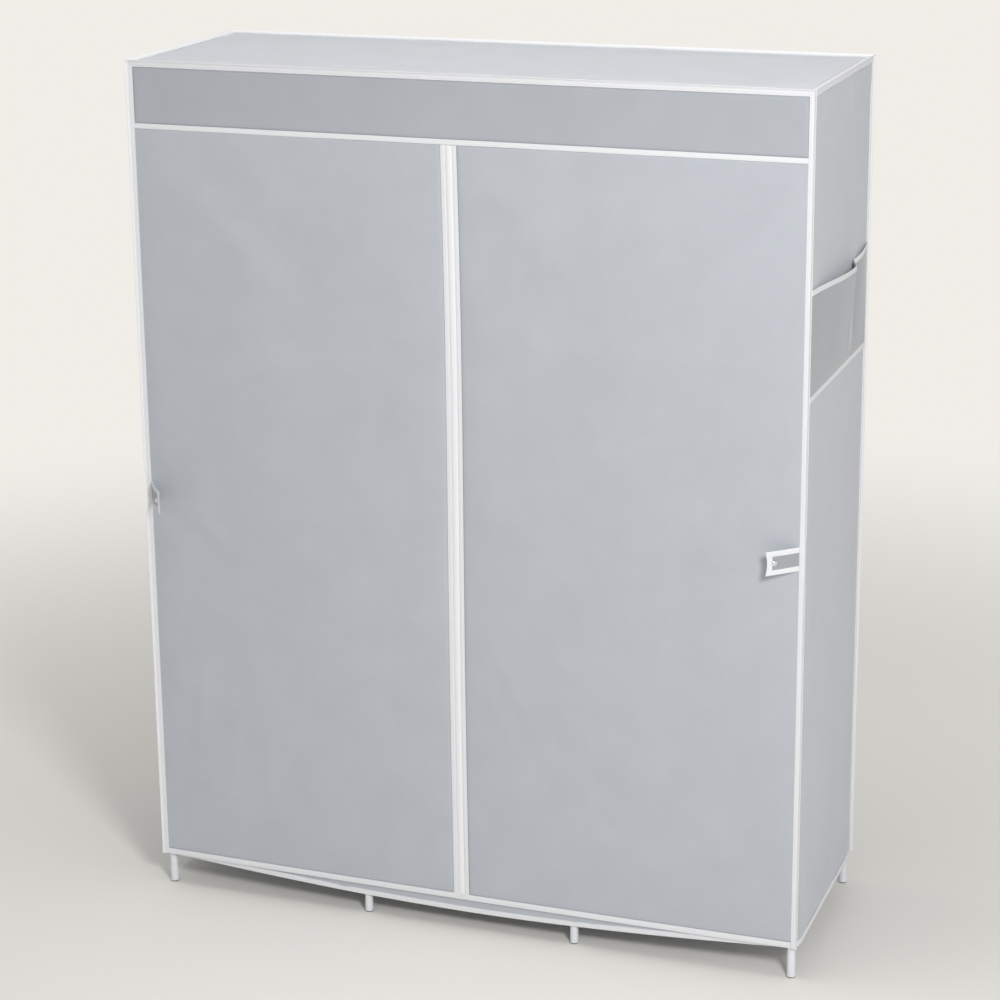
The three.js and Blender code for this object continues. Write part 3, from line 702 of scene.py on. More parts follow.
def wrap_cuts():
    """Places round the wrap: close together on the rails, wider apart between them."""
    top_end = 3 * rail_half_gap + half_turn
    front_rail = (rail_half_gap - near_rail, rail_half_gap + half_turn + near_rail)
    back_rail = (top_end - near_rail, top_end + half_turn + near_rail)
    legs = [
        steps(-seam_overlap, front_rail[0], wide_step), steps(*front_rail, fine_step),
        steps(front_rail[1], back_rail[0], wide_step), steps(*back_rail, fine_step),
        steps(back_rail[1], wrap_length, wide_step),
    ]
    return np.unique(np.concatenate(legs).round(6))


prop_reach = 55 * mm
wave_size = 0.16
wave_height = 1.6 * mm
overlap_drop = 0.9 * mm


def wrap_place(height, sag, seed, pull, props=()):
    """Lays a wrap about its rails, with both of its layers sagging between them.

    Its upper layer is held up by a cross tube at each of its props.
    """
    def place(s, x):
        depth, lift = wrapped(s)
        slack = np.clip(1 - (depth / rail_half_gap) ** 2, 0, 1)
        upper = np.abs(s - 2 * rail_half_gap - half_turn) < rail_half_gap + half_turn / 2
        for prop in props:
            slack = slack * (1 - upper * np.exp(-((x - prop) / prop_reach) ** 4))
        wave = crumple(x, s, wave_size, seed) * wave_height * slack
        ends = np.abs(x) / pull
        lay = height + lift - sag * slack * (0.75 + 0.25 * ends) + wave
        lay = lay - overlap_drop * (s < 0)
        return x, rail_middle + depth, lay
    return place


for number in (1, 2):
    node = f"shelf_cloth_{number}"
    low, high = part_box(node)
    half = (high.x - low.x) / 2
    shelf = cloth_piece(node + "_sleeve", "frame_and_cover", [node], wrap_cuts(),
                        steps(low.x, high.x, 7 * mm),
                        wrap_place(centre_of(node).z, sag=3 * mm, seed=11 * number, pull=half))

notch_half = 24.6 * mm
notch_depth = rail_half_gap - notch_half
low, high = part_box("base_cloth")
stops = [low.x, high.x]
for column in post_columns:
    stops += [column - notch_half, column + notch_half]
stops = sorted(stop for stop in stops if low.x <= stop <= high.x)
base_along = np.unique(np.concatenate([
    steps(start, end, 8 * mm) for start, end in zip(stops, stops[1:])
]).round(6))
base_cuts = np.unique(np.concatenate([wrap_cuts(), [
    leg + way * notch_half
    for leg in (rail_half_gap, rail_half_gap + half_turn, 3 * rail_half_gap + half_turn,
                3 * rail_half_gap + 2 * half_turn)
    for way in (-1, 1)
]]).round(6))


def clear_of_connectors(s, x):
    depth, lift = wrapped(s)
    at_post = np.min([np.abs(x - column) for column in post_columns], axis=0) < notch_half
    return ~(at_post & (np.abs(depth) > notch_depth))


base = cloth_piece("base_cloth_sleeve", "frame_and_cover", ["base_cloth"], base_cuts, base_along,
                   wrap_place(centre_of("base_cloth").z, sag=4 * mm, seed=37, pull=high.x,
                              props=post_columns), clear_of_connectors)


# The cover's flat panels are cut from the same grey cloth and sewn into the tape along their edges.
# The frame holds the corners, and between them the cloth hangs in faint swells and keeps the creases
# that it was packed with.
tape_width = 10 * mm
tape_thickness = 1.5 * mm
tape_proud = 0.7 * mm
skin = tape_proud + cloth_thickness / 2
tucked = 2 * mm
hem_height = 66 * mm
hem_tape = 11 * mm
seam_dip = 1.5 * mm
dip_reach = 4 * mm


def seam_steps(start, end, size):
    """Places like those of steps, closer together at both ends, where the cloth dips under its tape."""
    near = tucked + np.array([-tucked, 0, 1 * mm, 2 * mm, 3 * mm, dip_reach])
    middle = steps(start + near[-1], end - near[-1], size)[1:-1]
    return np.concatenate([start + near, middle, (end - near)[::-1]])


def dip_beside(inset):
    """How deep the cloth lies at a distance from its hidden edge: it dips beside the tape."""
    share = np.clip((inset - tucked) / dip_reach, 0, 1)
    return seam_dip * (1 - share * share * (3 - 2 * share))


def seam_groove(a, b):
    """The dip along the four edges of a cut of cloth."""
    return dip_beside(np.minimum.reduce([a - a.min(), a.max() - a, b - b.min(), b.max() - b]))


pack_folds_across = (-0.33, 0.33)
pack_folds_up = (0.48, 0.89, 1.3)
crease_width = 3.5 * mm
crease_height = 0.35 * mm
corner_hold = 90 * mm
edge_hold = 25 * mm
swell_size = 0.42
crumple_size = 0.07
crumple_height = 0.35 * mm


def pack_creases(a, b, places_a, places_b, height):
    """Shallow ridges along lines across a cut of cloth, where it lay folded in its bag."""
    ridges = sum(np.exp(-((a - place) / crease_width) ** 2) for place in places_a)
    ridges = ridges + sum(np.exp(-((b - place) / crease_width) ** 2) for place in places_b)
    return height * ridges


def panel_swell(a, b, seed, swell, crease_a=(), crease_b=()):
    """How far a panel stands out of its plane: soft swells, small crumples and pack creases."""
    near_edge = held_in(a, b, edge_hold)
    out = swell * (0.55 + 0.9 * crumple(a, b, swell_size, seed, 2)) * held_in(a, b, corner_hold)
    out = out + crumple_height * crumple(a, b, crumple_size, seed + 5, 3) * near_edge
    return out + pack_creases(a, b, crease_a, crease_b, crease_height) * near_edge


panel_cell = 8 * mm
inner_x = half_width - tape_width + tucked
inner_front = front + tape_width - tucked
inner_back = back - tape_width + tucked
eaves = top - tape_width + tucked
hem_top = hem_height + hem_tape - tucked
width_cuts = seam_steps(-inner_x, inner_x, panel_cell)
depth_cuts = seam_steps(inner_front, inner_back, panel_cell)
height_cuts = seam_steps(hem_top, eaves, panel_cell)
side_flare = 4.5 * mm
flare_across = 9 * mm
flare_up = 70 * mm


def hem_flare(depth, height):
    """The sides stand out a little at their hems, between the corner tapes, since nothing holds them."""
    inset = np.clip(np.minimum(depth - front, back - depth) - tape_width, 0, None)
    return (side_flare * (1 - np.exp(-inset / flare_across))
            * np.exp(-(height - hem_height) / flare_up))


prop_half = 27 * mm
prop_fade = 25 * mm
prop_push = 0.35 * mm
hang_reach = 60 * mm
rail_rows = (rail_middle - rail_half_gap, rail_middle + rail_half_gap)
side_rows = (*rail_rows, rail_middle)
rail_levels = (centre_of("cross_tube_bottom_1").z, centre_of("cross_tube_top_1").z)


def panel_depth(a, b, slack, places_a, places_b):
    """How deep a panel lies below the face of its tape.

    It is pulled tight over the connectors and the ends of the rods, and pushed out by them a little.
    """
    off_a, off_b = (np.min([np.abs(cut - place) for place in places], axis=0)
                    for cut, places in ((a, places_a), (b, places_b)))
    held = np.exp(-(np.clip(np.maximum(off_a, off_b) - prop_half, 0, None) / prop_fade) ** 2)
    return skin - prop_push * held + (seam_groove(a, b) + slack) * (1 - held)


cover_top = cloth_piece(
    "cover_top_panel", "frame_and_cover", ["cover_top"], width_cuts, depth_cuts,
    lambda a, b: (a, b, top - panel_depth(
        a, b, 2.2 * mm * held_in(a, b, hang_reach)
        - panel_swell(a, b, 3, 1.2 * mm, pack_folds_across, (rail_middle,)),
        post_columns, rail_rows)))

side_right = cloth_piece(
    "cover_side_right_panel", "frame_and_cover", ["cover_side_right"], depth_cuts, height_cuts,
    lambda a, b: (half_width + hem_flare(a, b) - panel_depth(
        a, b, 1.1 * mm * held_in(a, b, hang_reach)
        - 0.35 * panel_swell(a, b, 8, 1.5 * mm, (rail_middle,), pack_folds_up[:2]),
        side_rows, rail_levels), a, b))
side_left = cloth_piece(
    "cover_side_left_panel", "frame_and_cover", ["cover_side_left"], -depth_cuts, height_cuts,
    lambda a, b: (panel_depth(
        -a, b, -panel_swell(a, b, 15, 1.8 * mm, (-rail_middle,), pack_folds_up),
        side_rows, rail_levels) - half_width - hem_flare(-a, b), -a, b))
back_panel = cloth_piece(
    "cover_back_panel", "frame_and_cover", ["cover_back"], -width_cuts, height_cuts,
    lambda a, b: (-a, back - panel_depth(
        a, b, -panel_swell(a, b, 21, 2.4 * mm, pack_folds_across, pack_folds_up),
        post_columns, rail_levels), b))


# White woven tape, folded over the raw edges of the cloth and sewn down with one row of lockstitch.
# Along the corners of the cover it is folded again, so that 10 mm shows on both faces, and the seam
# in it stands out as a low ridge. Its runs are mitred where three of them meet.
white_tape, nodes, links, shader = new_finish("white_woven_tape", (0.78, 0.79, 0.81), 0.75)
tape_plan = nodes.new("ShaderNodeUVMap")
tape_plan.uv_map = "cut"
# Plain weave: ribs along the tape crossed by ribs across it, out of step in every other row.
ribs = nodes.new("ShaderNodeTexBrick")
ribs.offset = 0.5
ribs.inputs["Scale"].default_value = 1
ribs.inputs["Brick Width"].default_value = 0.9 * mm
ribs.inputs["Row Height"].default_value = 0.45 * mm
ribs.inputs["Mortar Size"].default_value = 0.08 * mm
ribs.inputs["Mortar Smooth"].default_value = 1
ribs.inputs["Color1"].default_value = (1, 1, 1, 1)
ribs.inputs["Color2"].default_value = (0.9, 0.9, 0.9, 1)
ribs.inputs["Mortar"].default_value = (0.55, 0.55, 0.55, 1)
bump = nodes.new("ShaderNodeBump")
bump.inputs["Strength"].default_value = 0.3
bump.inputs["Distance"].default_value = 0.12 * mm
shade = nodes.new("ShaderNodeMix")
shade.data_type = "RGBA"
shade.inputs["A"].default_value = (0.71, 0.72, 0.745, 1)
shade.inputs["B"].default_value = (0.765, 0.775, 0.80, 1)
links.new(tape_plan.outputs["UV"], ribs.inputs["Vector"])
links.new(ribs.outputs["Color"], bump.inputs["Height"])
links.new(bump.outputs["Normal"], shader.inputs["Normal"])
links.new(ribs.outputs["Color"], shade.inputs["Factor"])
links.new(shade.outputs["Result"], shader.inputs["Base Color"])

white_thread, shader = grained("white_thread", (0.80, 0.80, 0.81), 0.5, scale=3000, strength=0.4,
                               depth=0.1 * mm, wander=((0.72, 0.72, 0.73), (0.86, 0.86, 0.87)),
                               socket="Base Color")
shader.inputs["Sheen Weight"].default_value = 0.2

stitch_inset = 2.1 * mm
stitch_pitch = 4.2 * mm
row_lift = 0.5 * mm
short_wander = 0.022
long_wander = 0.12
mitre_fade = 0.03


def tape_run(spine, side_a, side_b, profile, mitre=(0, 0), seed=0.0, pucker=0.1 * mm,
             pressed=None):
    """Tape along a line. Each (a, b) of its profile goes a along side_a and b along side_b.

    mitre is 1 at an end that is cut back at 45 degrees, and the tape wanders by `pucker`. Where
    `pressed` is near 1, what stands out past the two sides lies flat.
    """
    spine = np.asarray(spine, float)
    count = len(spine)
    side_a = np.broadcast_to(np.asarray(side_a, float), (count, 3))
    side_b = np.broadcast_to(np.asarray(side_b, float), (count, 3))
    flat = np.asarray(profile, float)
    heading = np.gradient(spine, axis=0)
    heading /= np.linalg.norm(heading, axis=1)[:, None]
    length = np.concatenate([[0], np.cumsum(np.linalg.norm(np.diff(spine, axis=0), axis=1))])
    wander = np.array([noise.noise(Vector((s / short_wander, seed, 0))) for s in length]) * pucker
    wander += np.array([noise.noise(Vector((s / long_wander, seed, 5))) for s in length]) * pucker
    reach = np.maximum(flat[:, 0], flat[:, 1])
    arm = np.clip(reach / reach.max(), 0, 1)
    grown = flat[None] * (1 + (wander[:, None, None] / reach.max()) * arm[None, :, None])
    if pressed is not None:
        grown = grown - np.minimum(grown, 0) * np.asarray(pressed)[:, None, None]
    points = spine[:, None] + grown[..., :1] * side_a[:, None] + grown[..., 1:] * side_b[:, None]
    fade = [np.clip(1 - run / mitre_fade, 0, 1) for run in (length, length[-1] - length)]
    for end, way in ((0, 1), (1, -1)):
        cut = mitre[end] * way * fade[end][:, None] * reach[None]
        points = points + cut[..., None] * heading[:, None]
    ring = len(flat)
    plan = np.stack(np.broadcast_arrays(length[:, None], np.cumsum(
        np.linalg.norm(np.diff(flat, axis=0, prepend=flat[-1:]), axis=1))[None]), axis=-1)
    number = np.arange(count * ring).reshape(count, ring)
    after = np.roll(number, -1, axis=1)
    sides = np.stack([number[:-1], after[:-1], after[1:], number[1:]], axis=-1).reshape(-1, 4)
    faces = sides.tolist() + [number[0, ::-1].tolist(), number[-1].tolist()]
    return (points.reshape(-1, 3), faces), plan.reshape(-1, 2)


def fold_profile(width):
    """A tape folded flat over an edge: the fold at 0, and the sewn edge at `width`."""
    half = tape_thickness / 2
    face = [(0, 0), (0.1, 0.45), (0.35, 0.8), (0.9, 0.98), (width / mm * 0.5, 1.06)]
    sewn = width / mm - stitch_inset / mm
    face += [(sewn - 0.8, 1.0), (sewn - 0.25, 0.72), (sewn + 0.25, 0.72), (sewn + 0.8, 0.98)]
    face += [(width / mm - 0.35, 0.85), (width / mm - 0.05, 0.45)]
    over = [(a * mm, b * half) for a, b in face]
    return over + [(width, 0)] + [(a, -b) for a, b in over[:0:-1]]


def corner_profile():
    """A tape folded over a corner: its arms lie along both faces, whose outside is at 0, and the
    seam between them stands out."""
    width = tape_width / mm
    sewn = width - stitch_inset / mm
    t = tape_thickness / mm
    arm = [(width, t * 0.75), (width - 0.1, 0.35), (width - 0.45, 0.08)]
    arm += [(sewn + 0.7, 0.05), (sewn + 0.25, 0.28), (sewn - 0.25, 0.28), (sewn - 0.7, 0.03)]
    arm += [(sewn / 2 + 1, -0.06), (2.4, 0), (1.3, -0.12), (0.5, -0.5), (-0.15, -1.15)]
    arm += [(-2.0, -2.9), (-2.55, -3.15)]
    bend = [(-3.0, -3.0)]
    other = [(b, a) for a, b in arm[::-1]]
    inside = [(t, width), (t, t * 1.3), (t * 1.3, t), (width, t)]
    return [(a * mm, b * mm) for a, b in arm + bend + other + inside]


def stitches(spine, out, along_edge):
    """A row of lockstitch along a line. Each stitch dives into the tape at its two ends."""
    spine = np.asarray(spine, float)
    out = np.broadcast_to(np.asarray(out, float), spine.shape)
    length = np.concatenate([[0], np.cumsum(np.linalg.norm(np.diff(spine, axis=0), axis=1))])
    number = max(1, int((length[-1] - 2 * along_edge) / stitch_pitch))
    middles = along_edge + (np.arange(number) + 0.5) * (length[-1] - 2 * along_edge) / number
    stations = np.array([-0.46, -0.3, 0, 0.3, 0.46]) * stitch_pitch
    lifts = np.array([-0.12, 0.12, 0.2, 0.12, -0.12]) * mm
    widths = np.array([0.12, 0.26, 0.3, 0.26, 0.12]) * mm
    at = (middles[:, None] + stations).ravel()
    centre = np.stack([np.interp(at, length, spine[:, k]) for k in range(3)], axis=-1)
    raised = np.stack([np.interp(at, length, out[:, k]) for k in range(3)], axis=-1)
    heading = np.stack([np.interp(at + 1 * mm, length, spine[:, k])
                        - np.interp(at - 1 * mm, length, spine[:, k]) for k in range(3)], axis=-1)
    heading /= np.linalg.norm(heading, axis=1)[:, None]
    aside = np.cross(heading, raised)
    lift, wide = np.tile(lifts, number)[:, None], np.tile(widths, number)[:, None]
    centre = centre + raised * lift
    rings = np.stack([centre + aside * wide, centre + raised * wide,
                      centre - aside * wide, centre - raised * wide], axis=1)
    base = np.arange(number * 5 * 4).reshape(number, 5, 4)
    low, high = base[:, :-1], base[:, 1:]
    sides = np.stack([low, np.roll(low, -1, axis=2), np.roll(high, -1, axis=2), high], axis=-1)
    ends = np.concatenate([base[:, 0, ::-1], base[:, -1]])
    return rings.reshape(-1, 3), sides.reshape(-1, 4).tolist() + ends.tolist()


def sewn_row(path, inward, out, width, along_edge=1 * mm):
    """The row of stitches beside the sewn edge of a folded tape."""
    return stitches(path + inward * (width - stitch_inset) + out * row_lift, out, along_edge)


def tape_piece(name, body, nodes, runs):
    """Several runs of tape as one piece."""
    shape = gathered([run for run, plan in runs])
    plan = np.concatenate([plan for run, plan in runs])
    return make_piece(name, shape, white_tape, body, nodes, sharp=50, plan=plan)


def thread_piece(name, body, nodes, rows):
    return make_piece(name, gathered(rows), white_thread, body, nodes, sharp=80)


def line(start, end, size=6 * mm):
    count = max(2, round(np.linalg.norm(np.subtract(end, start)) / size) + 1)
    return np.linspace(start, end, count)


to_right, to_left = np.array((1, 0, 0)), np.array((-1, 0, 0))
to_back, to_front = np.array((0, 1, 0)), np.array((0, -1, 0))
up, down = np.array((0, 0, 1)), np.array((0, 0, -1))
corner_runs = []
corner_threads = []
row_inset = tape_width - stitch_inset
row_depth = 0.28 * mm

# The seam in the front corners is pressed flat where the tie-back tabs fold round them.
tab_droop = 3 * mm
tab_centre = centre_of("tab_left").z + tab_droop / 2
press_share = 0.95
press_reach = 38 * mm


def add_corner(start, end, side_a, side_b, mitre, seed, tabs=False):
    """A corner run with its two rows of stitches, one on each face."""
    path = line(start, end)
    pressed = press_share * np.exp(-((path[:, 2] - tab_centre) / press_reach) ** 6) * tabs
    corner_runs.append(tape_run(path, side_a, side_b, corner_profile(), mitre, seed,
                                pressed=pressed))
    for across, inward in ((side_a, side_b), (side_b, side_a)):
        row = path + across * row_inset + inward * row_depth
        heading = (row[-1] - row[0]) / np.linalg.norm(row[-1] - row[0])
        first, last = (row_inset * cut for cut in mitre)
        inside = line(row[0] + heading * first, row[-1] - heading * last)
        corner_threads.append(stitches(inside, -inward, 1 * mm))


# Every run wanders in its own way, from a seed of its own.
seed = 1.0
seed_step = 1.7
for way, side_in in ((-1, to_right), (1, to_left)):
    for depth, depth_in in ((front, to_back), (back, to_front)):
        x = way * half_width
        add_corner((x, depth, hem_height), (x, depth, top), side_in, depth_in, (0, 1), seed,
                   tabs=depth == front)
        seed += seed_step
    add_corner((way * half_width, front, top), (way * half_width, back, top), side_in, down,
               (1, 1), seed)
    seed += seed_step
for depth, depth_in in ((front, to_back), (back, to_front)):
    add_corner((-half_width, depth, top), (half_width, depth, top), depth_in, down, (1, 1), seed)
    seed += seed_step

# Below the side and back panels the tape is folded over the bottom edge of the cloth.
hem_profile = fold_profile(hem_tape)
for way, out in ((-1, to_left), (1, to_right)):
    x = way * (half_width - tape_thickness / 2)
    path = line((x, front + tape_width, hem_height), (x, back - tape_width, hem_height))
    sewn = path + up * hem_tape
    for edge in (path, sewn):
        edge += out * hem_flare(edge[:, 1], edge[:, 2])[:, None]
    rising = (sewn - path) / np.linalg.norm(sewn - path, axis=1)[:, None]
    corner_runs.append(tape_run(path, rising, out, hem_profile, seed=seed))
    corner_threads.append(sewn_row(path, rising, out, hem_tape))
    seed += seed_step
path = line((-half_width + tape_width, back - tape_thickness / 2, hem_height),
            (half_width - tape_width, back - tape_thickness / 2, hem_height))
corner_runs.append(tape_run(path, up, to_back, hem_profile, seed=seed))
corner_threads.append(sewn_row(path, up, to_back, hem_tape))


# A strip of the cloth under the doors, sewn to the cover at its two ends only. It sags between them
# and shows the legs below it. Tape is folded over its lower edge.
band_height = 50 * mm
band_sag = 30 * mm
band_bow = 0.6 * mm
band_tuck = 0.9 * mm
band_end = 4 * mm
band_half = half_width - tape_thickness


def band_drop(x):
    return band_sag * np.sin(math.pi * (x + half_width) / (2 * half_width))


def band_sway(x):
    """The band's cloth bows a little between its ends, where nothing holds it."""
    return band_bow * crumple(np.atleast_1d(x), np.zeros(np.size(x)), 0.3, 31.0, 2)


band_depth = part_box("front_bottom_band")[0].y + cloth_thickness / 2 - band_tuck
band = cloth_piece(
    "front_bottom_band_cloth", "frame_and_cover", ["front_bottom_band"],
    steps(-band_half, band_half, 8 * mm), steps(hem_top, hem_height + band_height, 4 * mm),
    lambda a, b: (a, band_depth + band_sway(a.ravel()).reshape(a.shape)
                  + 0.4 * mm * crumple(a, b, 0.05, 33.0), b - band_drop(a)))
along = steps(-band_half, band_half, 6 * mm)
path = np.stack([along, band_depth + band_sway(along), hem_height - band_drop(along)], axis=1)
corner_runs.append(tape_run(path, up, to_front, hem_profile, seed=41.0))
corner_threads.append(sewn_row(path, up, to_front, hem_tape, band_end))
tape_piece("cover_edge_tape", "frame_and_cover", ["cover_binding"], corner_runs)
thread_piece("cover_edge_stitches", "frame_and_cover", ["cover_binding"], corner_threads)


# The strip across the top of the front, sewn in along its top and ends. The doors hang from behind
# its lower edge, which has tape folded over it. It is two layers deep, and its grey is painted darker
# than the doors', as painted shade.
valance_hem_low, valance_hem_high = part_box("valance_hem")
valance_seam = valance_hem_low.z
valance_hang = 0.9 * mm
valance_cuts = seam_steps(valance_hem_high.z - tucked, eaves, 5 * mm)


def valance_place(a, b):
    hang = valance_hang * held_in(a, b, 45 * mm)
    out = 0.5 * panel_swell(a, b, 51, 1.0 * mm, pack_folds_across) - seam_groove(a, b)
    return a, front + skin + hang - out, b


# The doors' grey cloth painted darker all over: painted shade on the valance.
painted_shade_valance_cloth = nonwoven("valance_nonwoven_painted_shade", (0.382, 0.405, 0.441), (0.436, 0.460, 0.498))
valance = cloth_piece("front_valance_cloth", "frame_and_cover", ["front_valance"],
                      width_cuts, valance_cuts, valance_place, finish=painted_shade_valance_cloth)
along = steps(-half_width + tape_width, half_width - tape_width, 6 * mm)
path = np.stack([along, np.full_like(along, front + tape_thickness / 2),
                 valance_seam + 0.5 * mm * crumple(along, 0 * along, 0.25, 61.0, 2)
                 * np.sin(math.pi * (along / along.max() + 1) / 2)], axis=1)
tape_piece("valance_hem_tape", "frame_and_cover", ["valance_hem"],
           [tape_run(path, up, to_front, fold_profile(tape_width), seed=63.0)])
thread_piece("valance_hem_stitches", "frame_and_cover", ["valance_hem"],
             [sewn_row(path, up, to_front, tape_width)])


# Each door is one cut of the cloth, sewn to the cover along its outer edge and behind the valance,
# with tape over its bottom edge and over the edge beside the zip. It hangs a little slack, so it
# bellies out, with soft folds near its corners. The zip's line wanders, as it does on the real one.
zip_offset = -14 * mm
zip_wave = 4 * mm
zip_lean = 5 * mm
zip_half = 6.7 * mm
zip_edge_tape = 9 * mm
zip_split = 0.6 * mm
hem_split = 0.1 * mm
door_hinge = half_width - tape_width - 0.3 * mm
door_top = valance_seam - 0.3 * mm
door_depth = front + skin
hem_dip = 3 * mm
door_belly = 5 * mm
door_hem_tape = 12 * mm
door_cut_height = 1.48
door_cell = 7 * mm
door_crease = 1.5 * mm
roll_height = 4.6 * mm
roll_at_seam = 26 * mm
roll_at_zip = 22 * mm
tab_pull_share = 0.85
tab_pull_up = 45 * mm
tab_pull_across = 60 * mm
seam_lift = 0.4 * mm
seam_lift_across = 12 * mm
door_hold = 30 * mm
fold_gain = 1.6
door_pack_folds = (0.44, 0.81, 1.18)
door_pack_crease = 0.4 * mm


def zip_line(z):
    share = (door_top - z) / (door_top - hem_height)
    wave = zip_wave * np.sin(math.pi * share * 1.6) * (1 - share)
    return zip_offset + zip_lean * (share - 0.5) + wave


def door_hem(x):
    return hem_height - hem_dip * np.sin(math.pi * (x + half_width) / (2 * half_width))


def drag_line(x, z, start, end, width):
    """A soft ridge along a line in the cloth, which fades towards its two ends."""
    start, end = np.array(start), np.array(end)
    run = np.linalg.norm(end - start)
    heading = (end - start) / run
    along = ((x - start[0]) * heading[0] + (z - start[1]) * heading[1]) / run
    aside = (x - start[0]) * heading[1] - (z - start[1]) * heading[0]
    fade = np.sin(math.pi * np.clip(along, 0, 1)) ** 2
    return fade * np.exp(-((aside / width) ** 2))


# Soft folds of each door as (start, end, width, height): pulls from the top corners, slack folds
# beside the zip, and the upright folds that the door keeps from being rolled up.
door_folds = {
    -1: [((-0.62, 1.52), (-0.30, 1.20), 0.030, 1.5), ((-0.05, 1.53), (-0.28, 1.28), 0.034, 1.7),
         ((-0.16, 1.54), (-0.38, 1.36), 0.022, 1.0), ((-0.58, 0.12), (-0.54, 0.62), 0.014, 0.8),
         ((-0.50, 0.10), (-0.48, 0.55), 0.018, 0.8), ((-0.40, 0.09), (-0.42, 0.44), 0.015, 0.6),
         ((-0.06, 0.30), (-0.20, 0.12), 0.026, 1.1), ((-0.62, 0.84), (-0.42, 0.70), 0.022, 0.9)],
    1: [((0.03, 0.66), (0.15, 0.42), 0.016, 1.0), ((0.02, 0.56), (0.12, 0.36), 0.014, 0.8),
        ((0.02, 1.53), (0.30, 1.22), 0.036, 1.6), ((0.62, 1.52), (0.40, 1.20), 0.032, 1.6),
        ((0.62, 0.84), (0.44, 0.68), 0.024, 1.1), ((0.60, 0.12), (0.46, 0.34), 0.028, 1.0),
        ((0.28, 0.10), (0.24, 0.42), 0.018, 0.7), ((0.40, 1.05), (0.30, 0.72), 0.040, 0.9)],
}


def door_place(way):
    """Lays a door's cut in its place: a is measured from its outer seam, and v is 0 at its hem tape
    and 1 at the valance."""
    width = door_hinge - abs(zip_offset) if way < 0 else door_hinge + abs(zip_offset)

    def place(a, v):
        u = a / width
        x_flat = way * door_hinge + (zip_offset - way * door_hinge) * u
        low = door_hem(x_flat) + door_hem_tape - tucked
        z = low + (door_top - low) * v
        edge = zip_line(z) + way * (zip_half + zip_edge_tape - tucked)
        seam = way * (door_hinge + 0.5 * mm)
        x = seam + (edge - seam) * u
        rim = np.sin(math.pi * np.clip(u, 0, 1)) * np.sin(math.pi * v)
        crease = door_crease * np.sin(math.pi * (3 * u + 2 * v))
        belly = rim * (door_belly * (1 - 0.5 * v) + crease)
        rolled = ((1 - np.exp(-u * width / roll_at_seam))
                  * (1 - np.exp(-(1 - u) * width / roll_at_zip)))
        tab_pull = tab_pull_share * np.exp(-((z - tab_centre) / tab_pull_up) ** 2
                                           - u * width / tab_pull_across)
        belly = belly + roll_height * rolled * (1 - tab_pull) * np.sin(math.pi * v) ** 0.4
        belly = belly + seam_lift * np.exp(-u * width / seam_lift_across)
        belly = belly - dip_beside(np.minimum((1 - u) * width, z - low))
        held = np.clip(np.minimum(u, 1 - u) * width / door_hold, 0, 1)
        held = held * np.clip(np.minimum(v, 1 - v) * door_cut_height / door_hold, 0, 1)
        for start, end, size, height in door_folds[way]:
            belly = belly + fold_gain * height * mm * drag_line(x, z, start, end, size) * held
        soft = crumple(x, z, 0.11, 71 + way, 3) * 0.8 * mm
        soft = soft + crumple(x, z, 0.035, 75 + way, 2) * 0.2 * mm
        creases = pack_creases(x, z, (way * pack_folds_across[1],), door_pack_folds, door_pack_crease)
        return x, door_depth - belly - (soft + creases) * held, z
    return place, width


def hung_on_seam(piece):
    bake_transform(piece)


flat_cuts = seam_steps(0, door_cut_height, door_cell) / door_cut_height
for way, side in ((-1, "left"), (1, "right")):
    place, width = door_place(way)
    shape, plan = cloth_shape(seam_steps(0, width, door_cell)[::way], flat_cuts, place)
    plan = plan * np.array([way, door_cut_height])
    door = make_piece(f"door_{side}_cloth", shape, grey_cloth, None,
                      [f"door_{side}"], sharp=60, plan=plan)
    hung_on_seam(door)

    tape_depth = front + tape_thickness / 2
    height = steps(door_hem(zip_offset) + door_hem_tape - 0.4 * mm, door_top, 6 * mm)
    line_x = zip_line(height)
    edge_path = np.stack([line_x + way * zip_half, np.full_like(height, tape_depth), height], axis=1)
    across = steps(way * door_hinge, zip_line(hem_height) + way * hem_split, 6 * mm)
    hem_path = np.stack([across, np.full_like(across, tape_depth), door_hem(across)], axis=1)
    outward = np.array((way, 0, 0))
    tape = tape_piece(f"door_{side}_tape", None, [f"door_{side}_binding"], [
        tape_run(edge_path, outward, to_front, fold_profile(zip_edge_tape), seed=81 + way),
        tape_run(hem_path, up, to_front, fold_profile(door_hem_tape), seed=85 + way)])
    hung_on_seam(tape)
    thread = thread_piece(f"door_{side}_stitches", None, [f"door_{side}_binding"], [
        sewn_row(edge_path, outward, to_front, zip_edge_tape),
        sewn_row(hem_path, up, to_front, door_hem_tape)])
    hung_on_seam(thread)


# A coil zip sewn between the doors, with its teeth on the inside. Each half is a strip of woven tape,
# and the left one carries a folded flap that covers the join from outside.
zip_weave, nodes, links, shader = new_finish("zip_woven_tape", (0.74, 0.75, 0.77), 0.7)
zip_plan = nodes.new("ShaderNodeUVMap")
zip_plan.uv_map = "cut"
weave = nodes.new("ShaderNodeTexWave")
weave.wave_type = "BANDS"
weave.bands_direction = "DIAGONAL"
weave.inputs["Scale"].default_value = 260
weave.inputs["Distortion"].default_value = 0.6
weave.inputs["Detail"].default_value = 1
bump = nodes.new("ShaderNodeBump")
bump.inputs["Strength"].default_value = 0.25
bump.inputs["Distance"].default_value = 0.12 * mm
links.new(zip_plan.outputs["UV"], weave.inputs["Vector"])
links.new(weave.outputs["Fac"], bump.inputs["Height"])
links.new(bump.outputs["Normal"], shader.inputs["Normal"])
vary(nodes, links, shader, "Base Color", weave, (0.66, 0.67, 0.70), (0.76, 0.77, 0.79))

